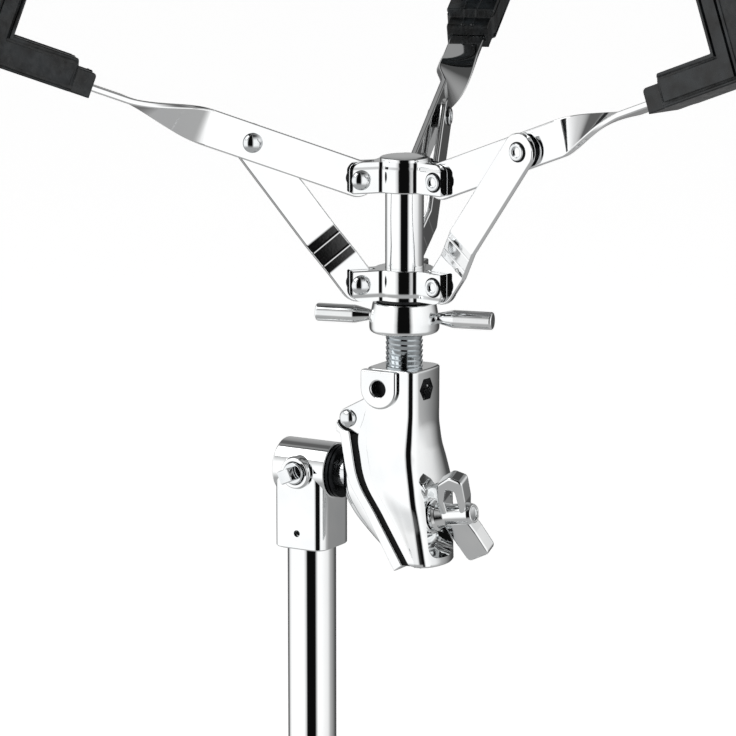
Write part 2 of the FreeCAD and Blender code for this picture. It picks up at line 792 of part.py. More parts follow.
def make_knuckle():
    """Cast T-head on the upper tube: a socket, a cross barrel and the tilt friction bolt."""
    box = block("knuckle_socket_box", d.socket_width, d.socket_width, d.socket_drop,
                x=d.socket_width / -2.0, z=d.socket_drop / -2.0)
    socket = rounded("knuckle_socket", box, d.socket_round, upright)
    barrel = cylinder("knuckle_barrel", d.knuckle_radius, d.knuckle_half * 2.0, x=-d.knuckle_half, along="x")
    boss = cylinder("knuckle_boss", d.key_boss_radius, d.key_boss_reach, along="-y")
    solid = fuse("knuckle_solid", socket, barrel, boss)
    tube = cylinder("knuckle_tube_bore", upper_r + d.fit, d.socket_drop - d.socket_floor, z=-d.socket_drop)
    shaft = cylinder("knuckle_shaft_bore", d.shaft_radius + d.fit, d.knuckle_half * 4.0,
                     x=d.knuckle_half * -2.0, along="x")
    bolt_hole = cylinder("knuckle_bolt_hole", d.bolt_radius + d.fit, d.key_boss_reach * 2.0, along="-y")
    pin_hole = cylinder("knuckle_pin_hole", d.tube_pin_r + d.fit, d.socket_width, z=-d.tube_pin_drop,
                        along="-y")
    keep(cut("knuckle_cut", solid, tube, shaft, bolt_hole, pin_hole), "knuckle", z=d.tilt_height)
    shank = d.key_boss_reach - d.shaft_radius - d.gap
    keep(key_bolt("knuckle_bolt_solid", shank), "knuckle_key_bolt",
         y=-d.key_boss_reach, z=d.tilt_height, rotation=ALONG["-y"])


def make_tilt_shaft():
    """Shaft of the tilter in the knuckle's barrel, and its brake washer."""
    start = d.sink - d.knuckle_half
    end = d.back_face + d.shaft_depth
    keep(cylinder("tilt_shaft_body", d.shaft_radius, end - start), "tilt_shaft",
         x=start, z=d.tilt_height, rotation=ALONG["x"])
    thick = d.back_face - d.knuckle_half - d.gap
    washer = ring("brake_washer_body", d.shaft_radius + d.fit, d.washer_radius, thick * 0.0, thick)
    keep(washer, "brake_washer", x=d.knuckle_half + d.gap, z=d.tilt_height, rotation=ALONG["x"])


def stud_cylinder(name, radius, back, front):
    """A round bar on the stud's sloping axis, from behind the stud's seat to in front of it."""
    thing = bind(doc.addObject("Part::Cylinder", name), Radius=radius, Height=back + front)
    thing.Placement = stud_place(-float(back))
    return thing


def stud_place(along=0.0):
    """Placement on the stud's axis, with Z along it."""
    slope = Rotation(Vector(0, 1, 0), 90.0 + float(d.stud_slope))
    seat = Vector(float(d.stud_x), 0, float(d.stud_z))
    return Placement(seat + slope.multVec(Vector(0, 0, along)), slope)


def jaw_line():
    """Corners of the joint between the two jaws, on the back jaw's side, from the top down."""
    return [(d.jaw_top_x, d.jaw_top_z), (d.jaw_knee_x, d.jaw_knee_z), (d.jaw_bend_x, d.jaw_bend_z),
            (d.jaw_low_x, d.jaw_low_z)]


def make_tilter_back():
    """Rear jaw of the tilter, fixed to the tilt shaft, with the hinge's tongue."""
    line = jaw_line()
    low_x, low_z = line[-1]
    behind = [(x - d.jaw_flange, z) for x, z in reversed(line[:-1])]
    flange = plate("tilter_back_flange", "XZ_Plane",
                   line + [(low_x - d.jaw_toe, low_z - d.jaw_toe_drop)] + behind, d.tilter_half * 2.0)
    inside = d.jaw_flange / 2
    neck = plate("tilter_back_neck", "XZ_Plane", [
        (d.back_face, d.back_neck), (d.back_face, -d.back_neck), (d.back_neck_x, -d.back_neck),
        (d.back_belly_x, d.back_belly_z), (low_x - d.jaw_flange * 1.5, d.back_belly_z),
        (d.jaw_bend_x - inside, d.jaw_bend_z), (d.jaw_knee_x - inside, d.jaw_knee_z),
        (d.jaw_top_x - inside, d.back_neck)], d.back_half * 2.0)
    root_z = d.hinge_z - d.tongue_drop
    tongue = plate("tilter_back_tongue", "XZ_Plane", [
        (d.hinge_x - d.tongue_half, root_z), (d.hinge_x + d.tongue_low, root_z),
        (d.hinge_x + d.tongue_half, d.hinge_z), (d.hinge_x - d.tongue_half, d.hinge_z)], d.hinge_tongue)
    eye = cylinder("tilter_back_eye", d.tongue_half, d.hinge_tongue, x=d.hinge_x,
                   y=d.hinge_tongue / -2.0, z=d.hinge_z, along="y")
    solid = fuse("tilter_back_solid", flange, neck, tongue, eye)
    shaft = cylinder("tilter_back_shaft", d.shaft_radius + d.fit, d.shaft_depth + d.fit, x=d.back_face,
                     along="x")
    pin = cylinder("tilter_back_pin", d.hinge_pin_r + d.fit, d.tilter_half * 2.0, x=d.hinge_x,
                   y=-d.tilter_half, z=d.hinge_z, along="y")
    stud = stud_cylinder("tilter_back_stud", d.stud_radius + d.fit, d.stud_back, d.stud_front)
    keep(cut("tilter_back_cut", solid, shaft, pin, stud), "tilter_back_jaw", z=d.tilt_height)


def make_tilter_front():
    """Front jaw of the tilter: hinge lugs, flared body and the square collar of the post."""
    line = [(x + d.jaw_gap, z) for x, z in jaw_line()]
    low_x, low_z = line[-1]
    half = d.collar_width / 2
    near = d.tilt_offset - half
    far = d.tilt_offset + half
    behind = [(x + d.jaw_flange, z) for x, z in reversed(line[:-1])]
    toe = (low_x + d.jaw_flange, low_z)
    flange = plate("tilter_front_flange", "XZ_Plane", line + [toe] + behind, d.tilter_half * 2.0)
    side = plate("tilter_front_side", "XZ_Plane", behind[::-1] + [
        toe, (low_x + d.front_toe, low_z + d.front_toe_rise), (far + d.front_belly, d.stud_z),
        (far + d.front_waist, d.front_waist_z), (far + d.front_neck, d.front_neck_z),
        (far - d.edge, d.shoulder_z), (near + d.edge, d.shoulder_z)], d.tilter_wide * 2.0)
    flare = d.tilter_wide
    foot = flare - d.flare_inset
    front = plate("tilter_front_face", "YZ_Plane", [
        (half - d.edge, d.shoulder_z), (flare, d.front_waist_z), (foot, low_z), (-foot, low_z),
        (-flare, d.front_waist_z), (-half + d.edge, d.shoulder_z)], d.tilt_offset * 4.0)
    shell = common("tilter_front_shell", side, front)
    collar_deep = d.collar_top - d.shoulder_z + d.collar_round
    collar_box = block("tilter_collar_box", d.collar_width, d.collar_width, collar_deep, x=near,
                       z=d.collar_top - collar_deep / 2)
    collar = rounded("tilter_collar", collar_box, d.collar_round, upright)
    lug = plate("tilter_front_lug", "XZ_Plane", [
        (d.hinge_x, d.hinge_z - d.hinge_lug_r), (d.jaw_top_x + d.jaw_gap, d.jaw_top_z),
        (near + d.lug_root, d.jaw_top_z),
        (near + d.lug_root, d.hinge_z + d.lug_step), (d.hinge_x, d.hinge_z + d.hinge_lug_r)],
        d.tilter_half * 2.0)
    eye = cylinder("tilter_front_eye", d.hinge_lug_r, d.tilter_half * 2.0, x=d.hinge_x,
                   y=-d.tilter_half, z=d.hinge_z, along="y")
    hole_z = d.collar_top - d.collar_hole_drop
    hole_x = d.tilt_offset - d.collar_hole_shift
    boss_depth = d.collar_boss_rise + d.sink
    boss = cylinder("tilter_front_boss", d.collar_boss_radius, boss_depth, x=hole_x, y=-half + d.sink,
                    z=hole_z, along="-y")
    rim = block("tilter_front_rim", d.collar_boss_radius * 2.0, boss_depth, d.collar_hole_drop,
                x=hole_x - d.collar_boss_radius, y=-half + d.sink - boss_depth / 2,
                z=hole_z + d.collar_hole_drop / 2)
    solid = fuse("tilter_front_solid", shell, collar, flange, lug, eye, boss, rim)
    mouth = block("tilter_front_mouth", d.hinge_lug_r * 2.5, d.hinge_tongue + d.gap * 2.0,
                  d.hinge_lug_r * 4.0, x=d.hinge_x - d.hinge_lug_r * 1.5, z=d.hinge_z)
    pin = cylinder("tilter_front_pin", d.hinge_pin_r + d.fit, d.tilter_half * 4.0, x=d.hinge_x,
                   y=d.tilter_half * -2.0, z=d.hinge_z, along="y")
    post = cylinder("tilter_front_bore", d.thread_d / 2 + d.fit, d.post_sink + d.sink, x=d.tilt_offset,
                    z=d.collar_top - d.post_sink)
    screw = cylinder("tilter_front_hole", d.collar_hole_r, d.collar_width, x=hole_x, z=hole_z, along="-y")
    recess = hexagon("tilter_front_hex", d.collar_hex_across, d.collar_width)
    put(recess, d.tilt_offset, -d.collar_hex_shift, hole_z, ALONG["x"])
    stud = stud_cylinder("tilter_front_stud", d.stud_radius + d.fit, d.stud_back, d.stud_front)
    seat = stud_cylinder("tilter_front_seat", d.wing_hub_radius + d.edge, d.stud_front * 0.0, d.stud_front)
    tools = [mouth, pin, post, screw, recess, stud, seat]
    keep(cut("tilter_front_cut", solid, *tools), "tilter_front_jaw", z=d.tilt_height)
    set_screw = cylinder("collar_screw_body", d.collar_hole_r - d.fit,
                         half - d.thread_d / 2 - d.sink * 2.0)
    keep(set_screw, "collar_set_screw", x=hole_x, y=d.thread_d / -2.0 - d.fit * 2.0,
         z=d.tilt_height + hole_z, rotation=ALONG["-y"])
    nut = hexagon("collar_nut_body", d.collar_hex_across - d.fit * 2.0,
                  half - d.thread_d / 2 - d.collar_hex_depth)
    keep(nut, "collar_lock_nut", x=d.tilt_offset + d.thread_d / 2 + d.fit * 2.0, y=-d.collar_hex_shift,
         z=d.tilt_height + hole_z, rotation=ALONG["x"])
    shank = d.tilter_half
    tip = shank + d.hinge_head_rise
    crown = d.hinge_head_r * 0.5
    pin_body = turned("hinge_pin_body", [
        (0.0, -tip), (crown, -tip), (d.hinge_head_r, -shank), (d.hinge_pin_r, -shank),
        (d.hinge_pin_r, shank), (d.hinge_head_r, shank), (crown, tip), (0.0, tip)])
    keep(pin_body, "tilter_hinge_pin", x=d.hinge_x, z=d.tilt_height + d.hinge_z, rotation=ALONG["y"])


def make_tilter_clamp():
    """Stud through both jaws, and the cast wing nut that squeezes them."""
    up = Placement(Vector(0, 0, float(d.tilt_height)), Rotation())
    stud = stud_cylinder("clamp_stud_body", d.stud_radius, d.stud_back, d.stud_front)
    move(keep(stud, "tilter_stud"), up.multiply(stud_place(-float(d.stud_back))))
    hub = ring("wing_hub", d.stud_radius + d.fit, d.wing_hub_radius, d.wing_hub_length * 0.0,
               d.wing_hub_length, d.wing_edge)
    length = d.wing_hub_length
    inner = d.stud_radius + d.wing_edge
    wings = []
    for name, reach in (("short", -d.wing_short), ("long", d.wing_long)):
        sign = 1.0 if float(reach) > 0 else -1.0
        wings.append(plate("wing_" + name, "XZ_Plane", [
            (inner * sign, length * 0.2), (reach * 0.6, length * 0.35), (reach * 1.0, length * 0.6),
            (reach * 1.0, length * 0.6 + d.wing_width * 0.75), (reach * 0.75, length * 0.55 + d.wing_width),
            (inner * sign, length * 0.95)], d.wing_thick))
    solid = fuse("wing_nut_solid", hub, *wings)
    bore = cylinder("wing_nut_bore", d.stud_radius + d.fit, length * 2.0)
    nut = cut("wing_nut_cut", solid, bore)
    turn = Placement(Vector(0, 0, 0), about_z(d.wing_turn))
    keep(nut, "tilter_wing_nut").Placement = up.multiply(stud_place(float(d.gap))).multiply(turn)


def nut_top():
    """Height of the basket nut's top above the tilt axis."""
    return d.hub_rise - d.hub_drop - d.hub_tall - d.gap - d.thrust_thick


def make_post():
    """Basket post: a threaded length that sits in the collar, and a smooth length above it."""
    top = d.hub_rise + d.hub_tall
    low = d.collar_top - d.post_sink + d.fit
    thread_top = nut_top() + d.thread_climb
    crest = d.thread_d / 2
    root = crest - d.thread_depth
    pitch = d.thread_pitch
    count = int((float(thread_top) - float(low)) / float(pitch)) - 1
    corners = [(0.0, low), (root, low)]
    for i in range(count):
        base = low + pitch * float(i)
        corners += [(root, base + pitch * 0.15), (crest, base + pitch * 0.45),
                    (crest, base + pitch * 0.6), (root, base + pitch * 0.9)]
    smooth = low + pitch * float(count)
    radius = d.post_d / 2
    corners += [(root, smooth), (radius, smooth + d.edge), (radius, top), (0.0, top)]
    keep(turned("basket_post_body", corners), "basket_post", x=d.tilt_offset, z=d.tilt_height)


def basket_place(k, radius, height, pitch=0.0):
    """Placement on one of the basket's three stations, pitched down by an angle."""
    axis = Placement(Vector(float(d.tilt_offset), 0, 0), about_z(float(d.basket_turn) + 120.0 * k))
    out = Placement(Vector(float(radius), 0, float(height)), Rotation(Vector(0, 1, 0), float(pitch)))
    return axis.multiply(out)


def basket_rivet(name, dome_side, roll_side):
    """A rivet along Y: a dome at the positive end and a rolled hollow end."""
    dome = dome_side + d.dome_rise
    roll = roll_side + d.roll_rise
    hollow = d.basket_rivet_r * ROLL_HOLLOW
    bottom = d.roll_depth - roll_side
    return turned(name, [
        (0.0, bottom), (hollow, bottom), (hollow, -roll), (d.roll_radius * ROLL_CROWN, -roll),
        (d.roll_radius, -roll_side), (d.basket_rivet_r, -roll_side), (d.basket_rivet_r, dome_side),
        (d.dome_radius, dome_side), (d.dome_radius * DOME_SHOULDER, dome_side + d.dome_rise * DOME_LIFT),
        (d.dome_radius * DOME_CROWN, dome), (0.0, dome)])


def make_hub(name, bore, height, flip):
    """A hub with three forked lugs and the rivets that the strips turn on."""
    low = -d.hub_short
    high = d.hub_tall
    barrel = ring(name + "_barrel", bore, d.hub_barrel_r, low, high)
    solids = [barrel]
    tools = []
    rivets = []
    reach = d.hub_lug_reach
    bend = d.hub_round
    inner = (bore + d.hub_barrel_r) / 2
    slot = d.strip_thick + d.gap * 2.0
    for k in range(3):
        lug = plate("%s_lug_%d" % (name, k), "XZ_Plane", [
            (inner, low), (reach, low), (reach, high - bend), (reach - bend * 0.13, high - bend * 0.5),
            (reach - bend * 0.5, high - bend * 0.13), (reach - bend, high), (inner, high)],
            d.hub_lug_half * 2.0)
        turn = Placement(Vector(0, 0, 0), about_z(120.0 * k))
        lug.Placement = turn
        throat = block("%s_slot_%d" % (name, k), reach, slot, (d.hub_tall + d.hub_short) * 2.0)
        move(throat, turn.multiply(Placement(
            Vector(float(d.hub_barrel_r), float(slot) / -2.0, -float(d.hub_tall + d.hub_short)), Rotation())))
        eye = cylinder("%s_eye_%d" % (name, k), d.basket_rivet_r + d.fit, d.hub_lug_half * 4.0)
        eye.Placement = turn.multiply(Placement(
            Vector(float(d.hub_pivot_r), -2.0 * float(d.hub_lug_half), 0), ALONG["y"]))
        rivet = basket_rivet("%s_rivet_%d" % (name, k), d.hub_lug_half, d.hub_lug_half)
        side = "-y" if flip else "y"
        rivet.Placement = turn.multiply(Placement(Vector(float(d.hub_pivot_r), 0, 0), ALONG[side]))
        solids.append(lug)
        tools += [throat, eye]
        rivets.append(rivet)
    solid = fuse(name + "_solid", *solids)
    hub = keep(cut(name + "_cut", solid, *tools), name)
    pins = keep(group(name + "_pins", *rivets), name + "_rivets")
    over = Rotation(Vector(1, 0, 0), 180.0) if flip else Rotation()
    for thing in (hub, pins):
        thing.Placement = basket_place(0, 0.0, d.tilt_height + height).multiply(
            Placement(Vector(0, 0, 0), over))


def make_hubs():
    """Upper hub fixed to the post, the same hub upside down below it, a cap and a washer."""
    make_hub("upper_hub", d.post_d / 2 + d.fit, d.hub_rise, False)
    make_hub("lower_hub", d.post_d / 2 + d.fit, d.hub_rise - d.hub_drop, True)
    cap = turned("hub_cap_body", [
        (0.0, 0.0), (d.cap_radius, 0.0), (d.cap_radius, d.cap_rise * 0.4),
        (d.cap_radius * 0.7, d.cap_rise), (0.0, d.cap_rise)])
    keep(cap, "hub_cap", x=d.tilt_offset, z=d.tilt_height + d.hub_rise + d.hub_tall)
    washer = ring("thrust_washer_body", d.post_d / 2 + d.gap, d.thrust_radius, d.thrust_thick * 0.0,
                  d.thrust_thick)
    keep(washer, "thrust_washer", x=d.tilt_offset, z=d.tilt_height + nut_top() + d.gap)


def make_basket_nut():
    """Adjusting nut of the basket with its two bar handles."""
    top = nut_top()
    bore = d.thread_d / 2 + d.fit
    body = turned("basket_nut_body", [
        (bore, -d.nut_height), (d.nut_low_r - d.nut_low_round, -d.nut_height),
        (d.nut_low_r, d.nut_low_round - d.nut_height), (d.nut_low_r, d.nut_waist - d.nut_height),
        (d.nut_top_r, -d.edge), (d.nut_top_r - d.edge, 0.0), (bore, 0.0)])
    middle = d.nut_height * -0.5
    turn = about_z(d.handle_turn)
    hole_r = d.handle_neck_r + d.fit
    depth = d.nut_low_r - d.handle_start + d.sink
    right = cylinder("basket_nut_right", hole_r, depth, x=d.handle_start, z=middle, along="x")
    left = cylinder("basket_nut_left", hole_r, depth, x=-d.handle_start - depth, z=middle, along="x")
    keep(cut("basket_nut_cut", body, right, left), "basket_nut", x=d.tilt_offset,
         z=d.tilt_height + top, rotation=turn)
    bars = []
    for name, flip in (("right", 0.0), ("left", 180.0)):
        bar = turned("handle_" + name, [
            (0.0, d.handle_start), (d.handle_neck_r, d.handle_start),
            (d.handle_neck_r, d.nut_low_r + d.handle_neck_out), (d.handle_radius, d.handle_shoulder),
            (d.handle_radius, d.handle_reach - d.handle_edge),
            (d.handle_radius - d.handle_edge, d.handle_reach), (0.0, d.handle_reach)])
        bar.Placement = Placement(Vector(0, 0, 0), about_z(flip)).multiply(
            Placement(Vector(0, 0, float(middle)), ALONG["x"]))
        bars.append(bar)
    keep(group("handles_group", *bars), "basket_nut_handles", x=d.tilt_offset,
         z=d.tilt_height + top, rotation=turn)


def strip_section(station, turn):
    """Cross-section of an arm's strip, turned about the arm's axis."""
    half_t = float(d.strip_thick) / 2
    half_w = float(d.strip_width) / 2
    corners = [Vector(station, half_t, half_w), Vector(station, -half_t, half_w),
               Vector(station, -half_t, -half_w), Vector(station, half_t, -half_w)]
    spin = Rotation(Vector(1, 0, 0), turn)
    points = [spin.multVec(corner) for corner in corners]
    return Part.makePolygon(points + points[:1])


def strip_disc(radius, station):
    """A disc through an arm's strip, flush with both faces."""
    thick = float(d.strip_thick)
    return Part.makeCylinder(radius, thick, Vector(station, -thick / 2, 0), Vector(0, 1, 0))


def twisted_strip():
    """Strip along X with a rounded hub end, twisted a quarter turn before its outer end."""
    start = float(d.twist_start)
    end = float(d.twist_end)
    sections = [strip_section(0.0, 0.0)]
    for i in range(TWIST_STEPS + 1):
        share = i / TWIST_STEPS
        ease = share * share * (3.0 - 2.0 * share)
        sections.append(strip_section(start + (end - start) * share, -90.0 * ease))
    sections.append(strip_section(float(d.arm_end), -90.0))
    strip = Part.makeLoft(sections, True, True).fuse(strip_disc(float(d.strip_width) / 2, 0.0))
    hole_r = float(d.basket_rivet_r + d.fit)
    return strip.cut(strip_disc(hole_r, 0.0)).cut(strip_disc(hole_r, float(d.arm_join)))


def make_arm(tag, k):
    """One basket arm: the twisted strip, the domed half of its link rivet and a rubber tip."""
    place = basket_place(k, d.hub_pivot_r, d.tilt_height + d.hub_rise, -d.arm_slope)
    strip = doc.addObject("Part::Feature", "arm_%s_body" % tag)
    strip.Shape = twisted_strip()
    keep(strip, "arm_%s_strip" % tag).Placement = place
    half = d.strip_thick / 2
    dome = half + d.dome_rise
    rivet = turned("arm_%s_dome" % tag, [
        (0.0, -half), (d.basket_rivet_r, -half), (d.basket_rivet_r, half), (d.dome_radius, half),
        (d.dome_radius * DOME_SHOULDER, half + d.dome_rise * DOME_LIFT),
        (d.dome_radius * DOME_CROWN, dome), (0.0, dome)])
    keep(rivet, "arm_%s_rivet" % tag).Placement = place.multiply(
        Placement(Vector(float(d.arm_join), 0, 0), ALONG["y"]))
    corner = d.tip_corner
    outer = corner + d.tip_wall
    start = corner - d.tip_base
    ledge = corner - d.tip_step
    step = ledge - d.tip_slant
    bevel = d.tip_edge
    top = d.tip_up + d.tip_height
    foot = plate("arm_%s_tip_side" % tag, "XZ_Plane", [
        (start, -d.tip_down), (outer - bevel, -d.tip_down), (outer, bevel - d.tip_down),
        (outer, top - bevel), (outer - bevel, top), (corner + bevel, top), (corner, top - bevel),
        (corner, d.tip_up), (ledge, d.tip_up), (step, d.tip_neck_up),
        (start + d.edge, d.tip_neck_up), (start, d.tip_neck_up - d.edge)], d.tip_width)
    half_w = d.tip_width / 2
    neck = d.tip_neck_width / 2
    top_view = plate("arm_%s_tip_top" % tag, "XY_Plane", [
        (start, -neck), (step, -neck), (ledge, -half_w), (outer, -half_w), (outer, half_w),
        (ledge, half_w), (step, neck), (start, neck)], (d.tip_height + d.tip_up) * 3.0)
    solid = common("arm_%s_tip_solid" % tag, foot, top_view)
    slot = block("arm_%s_tip_slot" % tag, d.arm_end + d.fit - start + d.sink, d.strip_width + d.fit * 2.0,
                 d.strip_thick + d.fit * 2.0, x=start - d.sink)
    grooves = []
    for name, side in (("left", -1.0), ("right", 1.0)):
        grooves.append(block("arm_%s_groove_%s" % (tag, name), d.tip_groove * 2.0, d.tip_groove,
                             d.tip_height, x=corner - d.tip_groove, y=half_w * 0.4 * side,
                             z=d.tip_up + d.tip_height / 2 + d.tip_groove))
    keep(cut("arm_%s_tip_cut" % tag, solid, slot, *grooves), "arm_%s_tip" % tag).Placement = place


def link_line():
    """Length and rise angle of a link, from the lower hub's pivot to its place on the arm."""
    along = float(d.arm_join * cosine(d.arm_slope))
    up = float(d.arm_join * sine(d.arm_slope) + d.hub_drop)
    return math.hypot(along, up), math.degrees(math.atan2(up, along))


def make_link(tag, k):
    """One link: a strip with a double bend, and the rolled half of its rivet."""
    length, rise = link_line()
    half = d.strip_thick / 2
    shift = d.strip_thick + d.link_clear
    end_r = d.strip_width / 2
    place = basket_place(k, d.hub_pivot_r, d.tilt_height + d.hub_rise - d.hub_drop, -rise)
    bent = plate("link_%s_bent" % tag, "XY_Plane", [
        (-end_r, -half), (d.link_bend_start, -half), (d.link_bend_end, -half - shift),
        (end_r + length, -half - shift), (end_r + length, half - shift),
        (d.link_bend_end, half - shift), (d.link_bend_start, half), (-end_r, half)], d.strip_width)
    tall = shift * 6.0
    low = shift * -3.0
    bar = block("link_%s_bar" % tag, length, tall, end_r * 2.0)
    near = cylinder("link_%s_near" % tag, end_r, tall, y=low, along="y")
    far = cylinder("link_%s_far" % tag, end_r, tall, x=length, y=low, along="y")
    slab = common("link_%s_slab" % tag, bent, fuse("link_%s_shape" % tag, bar, near, far))
    hub_hole = cylinder("link_%s_hub_hole" % tag, d.basket_rivet_r + d.fit, tall, y=low, along="y")
    arm_hole = cylinder("link_%s_arm_hole" % tag, d.basket_rivet_r + d.fit, tall, x=length, y=low,
                        along="y")
    keep(cut("link_%s_cut" % tag, slab, hub_hole, arm_hole), "link_%s_strip" % tag).Placement = place
    hollow = d.basket_rivet_r * ROLL_HOLLOW
    bottom = half - d.roll_depth
    rolled = half + d.roll_rise
    rivet = turned("link_%s_roll" % tag, [
        (0.0, -half), (d.basket_rivet_r, -half), (d.basket_rivet_r, half), (d.roll_radius, half),
        (d.roll_radius * ROLL_CROWN, rolled), (hollow, rolled), (hollow, bottom), (0.0, bottom)])
    keep(rivet, "link_%s_rivet" % tag).Placement = place.multiply(
        Placement(Vector(length, -float(shift), 0), ALONG["-y"]))


def build():
    make_lower_tube()
    make_strut_collar()
    make_height_clamp()
    make_leg_collar()
    for tag, turn in LEG_TURNS.items():
        make_leg(tag, turn)
        make_strut(tag, turn)
    make_memory_lock()
    make_upper_tube()
    make_knuckle()
    make_tilt_shaft()
    make_tilter_back()
    make_tilter_front()
    make_tilter_clamp()
    make_post()
    make_hubs()
    make_basket_nut()
    for k, tag in enumerate(("a", "b", "c")):
        make_arm(tag, k)
        make_link(tag, k)
    doc.recompute()


def check():
    """Stops if any object failed or any piece is not a sound solid."""
    for thing in doc.Objects:
        if "Invalid" in thing.State or "Error" in thing.State:
            raise RuntimeError("failed: %s %s" % (thing.Name, thing.State))
    for thing in pieces:
        if thing.Shape.isNull() or not thing.Shape.isValid() or not thing.Shape.Solids:
            raise RuntimeError("unsound: %s" % thing.Label)


build()
check()
os.makedirs("parts", exist_ok=True)
for piece in pieces:
    piece.Shape.exportStep("parts/%s.step" % piece.Label)
print("%d pieces" % len(pieces))
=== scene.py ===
import logging
import math
from dataclasses import dataclass, field
from enum import Enum
from typing import Any, ClassVar, Iterable, Sequence

import bmesh
import bpy
from mathutils import Matrix, Vector


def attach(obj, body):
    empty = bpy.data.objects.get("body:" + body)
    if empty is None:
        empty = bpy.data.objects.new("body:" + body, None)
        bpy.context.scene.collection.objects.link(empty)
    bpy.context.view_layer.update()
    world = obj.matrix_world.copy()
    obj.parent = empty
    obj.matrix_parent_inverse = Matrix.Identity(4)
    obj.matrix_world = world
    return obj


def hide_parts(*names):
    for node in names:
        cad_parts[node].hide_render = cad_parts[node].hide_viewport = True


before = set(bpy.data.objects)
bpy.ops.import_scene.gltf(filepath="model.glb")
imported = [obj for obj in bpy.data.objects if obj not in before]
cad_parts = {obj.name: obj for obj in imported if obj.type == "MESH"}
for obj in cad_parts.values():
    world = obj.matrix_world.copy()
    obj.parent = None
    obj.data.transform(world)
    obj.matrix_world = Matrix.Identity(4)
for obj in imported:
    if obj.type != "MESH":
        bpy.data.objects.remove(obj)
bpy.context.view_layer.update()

log = logging.getLogger("snare_stand")

Point = tuple[float, float]
Outline = list[Point]
MM = 0.001
STATIONS = ("a", "b", "c")


def middle_height(node: str) -> float:
    """Gives the middle height of a CAD node, in millimetres."""
    heights = [corner.co.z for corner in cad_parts[node].data.vertices]
    return (min(heights) + max(heights)) / 2.0 / MM


# Height of the tilt axis, in millimetres.
TILT = middle_height("tilt_shaft")


class Axis(Enum):
    """A direction that a turned or pressed piece is laid along."""

    X = "x"
    Y = "y"
    MINUS_Y = "-y"


class Side(Enum):
    """Which way up a hub sits on the post."""

    UPRIGHT = 1
    OVER = -1


def linear(code: str) -> tuple[float, float, float, float]:
    """Turns an sRGB hex colour into linear light.

    Args:
        code: Colour such as "#2b2d2f".

    Returns:
        Red, green, blue and full alpha, linear.
    """
    parts = [int(code[i:i + 2], 16) / 255.0 for i in (1, 3, 5)]
    return tuple(c / 12.92 if c <= 0.04045 else ((c + 0.055) / 1.055) ** 2.4 for c in parts) + (1.0,)


def grey(level: float) -> tuple[float, float, float, float]:
    """Gives a grey of linear light, with full alpha."""
    return (level, level, level, 1.0)


# The Mix node's colour sockets share their names with others, so they go by number.
COLOUR_A, COLOUR_B, COLOUR_OUT = 6, 7, 2


def add(tree: bpy.types.NodeTree, kind: str, inputs: dict[Any, Any] | None = None,
        **settings: Any) -> bpy.types.Node:
    """Adds a node, with its settings, its values and its links.

    Args:
        tree: Tree that takes the node.
        kind: Type name of the node.
        inputs: Values or output sockets for its input sockets, by name or number.
        settings: Properties of the node itself.

    Returns:
        The new node.
    """
    node = tree.nodes.new(kind)
    for name, value in settings.items():
        setattr(node, name, value)
    for key, value in (inputs or {}).items():
        if isinstance(value, bpy.types.NodeSocket):
            tree.links.new(value, node.inputs[key])
        else:
            node.inputs[key].default_value = value
    return node


# Finishes


@dataclass(frozen=True)
class Finish:
    """A real material and how its surface was made.

    Attributes:
        name: Name of the material and its making.
        slot: Material slot of the record, not used.
        colour: Main colour as sRGB hex.
        second: Colour of the slow variation, as sRGB hex.
        rough: Roughness of the cleanest places.
        wear: Roughness that the fine marks add.
        metallic: 1 for a metal, 0 for rubber and plastic.
        mark_mm: Size of the fine marks, drawn coarser than real ones so that they show.
        wave_mm: Length of the slow waves in the surface.
        wave_depth: Height of the bump, in millimetres.
    """

    name: str
    slot: str
    colour: str
    second: str
    rough: float
    wear: float
    metallic: float
    mark_mm: float
    wave_mm: float
    wave_depth: float

    def material(self) -> bpy.types.Material:
        """Builds the material once and returns it after that.

        Returns:
            The material, with its nodes.
        """
        ready = bpy.data.materials.get(self.name)
        if ready:
            return ready
        made = bpy.data.materials.new(self.name)
        made.use_nodes = True
        tree = made.node_tree
        tree.nodes.clear()
        where = add(tree, "ShaderNodeTexCoord").outputs["Object"]
        slow = add(tree, "ShaderNodeTexNoise",
                   {"Vector": where, "Scale": 1.0 / (self.wave_mm * MM), "Detail": 2.0, "Roughness": 0.45})
        fine = add(tree, "ShaderNodeTexNoise",
                   {"Vector": where, "Scale": 1.0 / (self.mark_mm * MM), "Detail": 4.0, "Roughness": 0.6})
        patches = add(tree, "ShaderNodeMapRange",
                      {"Value": slow.outputs["Fac"], "From Min": 0.34, "From Max": 0.66})
        tint = add(tree, "ShaderNodeMix",
                   {0: patches.outputs[0], COLOUR_A: linear(self.colour), COLOUR_B: linear(self.second)},
                   data_type="RGBA")
        marks = add(tree, "ShaderNodeMapRange",
                    {"Value": fine.outputs["Fac"], "From Min": 0.35, "From Max": 0.75,
                     "To Min": self.rough, "To Max": self.rough + self.wear})
        mixed = add(tree, "ShaderNodeMath", {0: slow.outputs["Fac"], 1: fine.outputs["Fac"]}, operation="ADD")
        bump = add(tree, "ShaderNodeBump", {"Height": mixed.outputs[0], "Strength": 1.0,
                                            "Distance": self.wave_depth * MM})
        shader = add(tree, "ShaderNodeBsdfPrincipled",
                     {"Base Color": tint.outputs[COLOUR_OUT], "Metallic": self.metallic,
                      "Roughness": marks.outputs["Result"], "Normal": bump.outputs["Normal"]})
        add(tree, "ShaderNodeOutputMaterial", {"Surface": shader.outputs["BSDF"]})
        return made


# Bright chromium over drawn steel tube: a mirror with hardly any wave in it.
TUBE = Finish(
    name="chromium plate on drawn steel tube", slot="chrome_tube", colour="#fafbfb", second="#f6f7f8",
    rough=0.02, wear=0.025, metallic=1.0, mark_mm=1.4, wave_mm=26.0, wave_depth=0.0012)
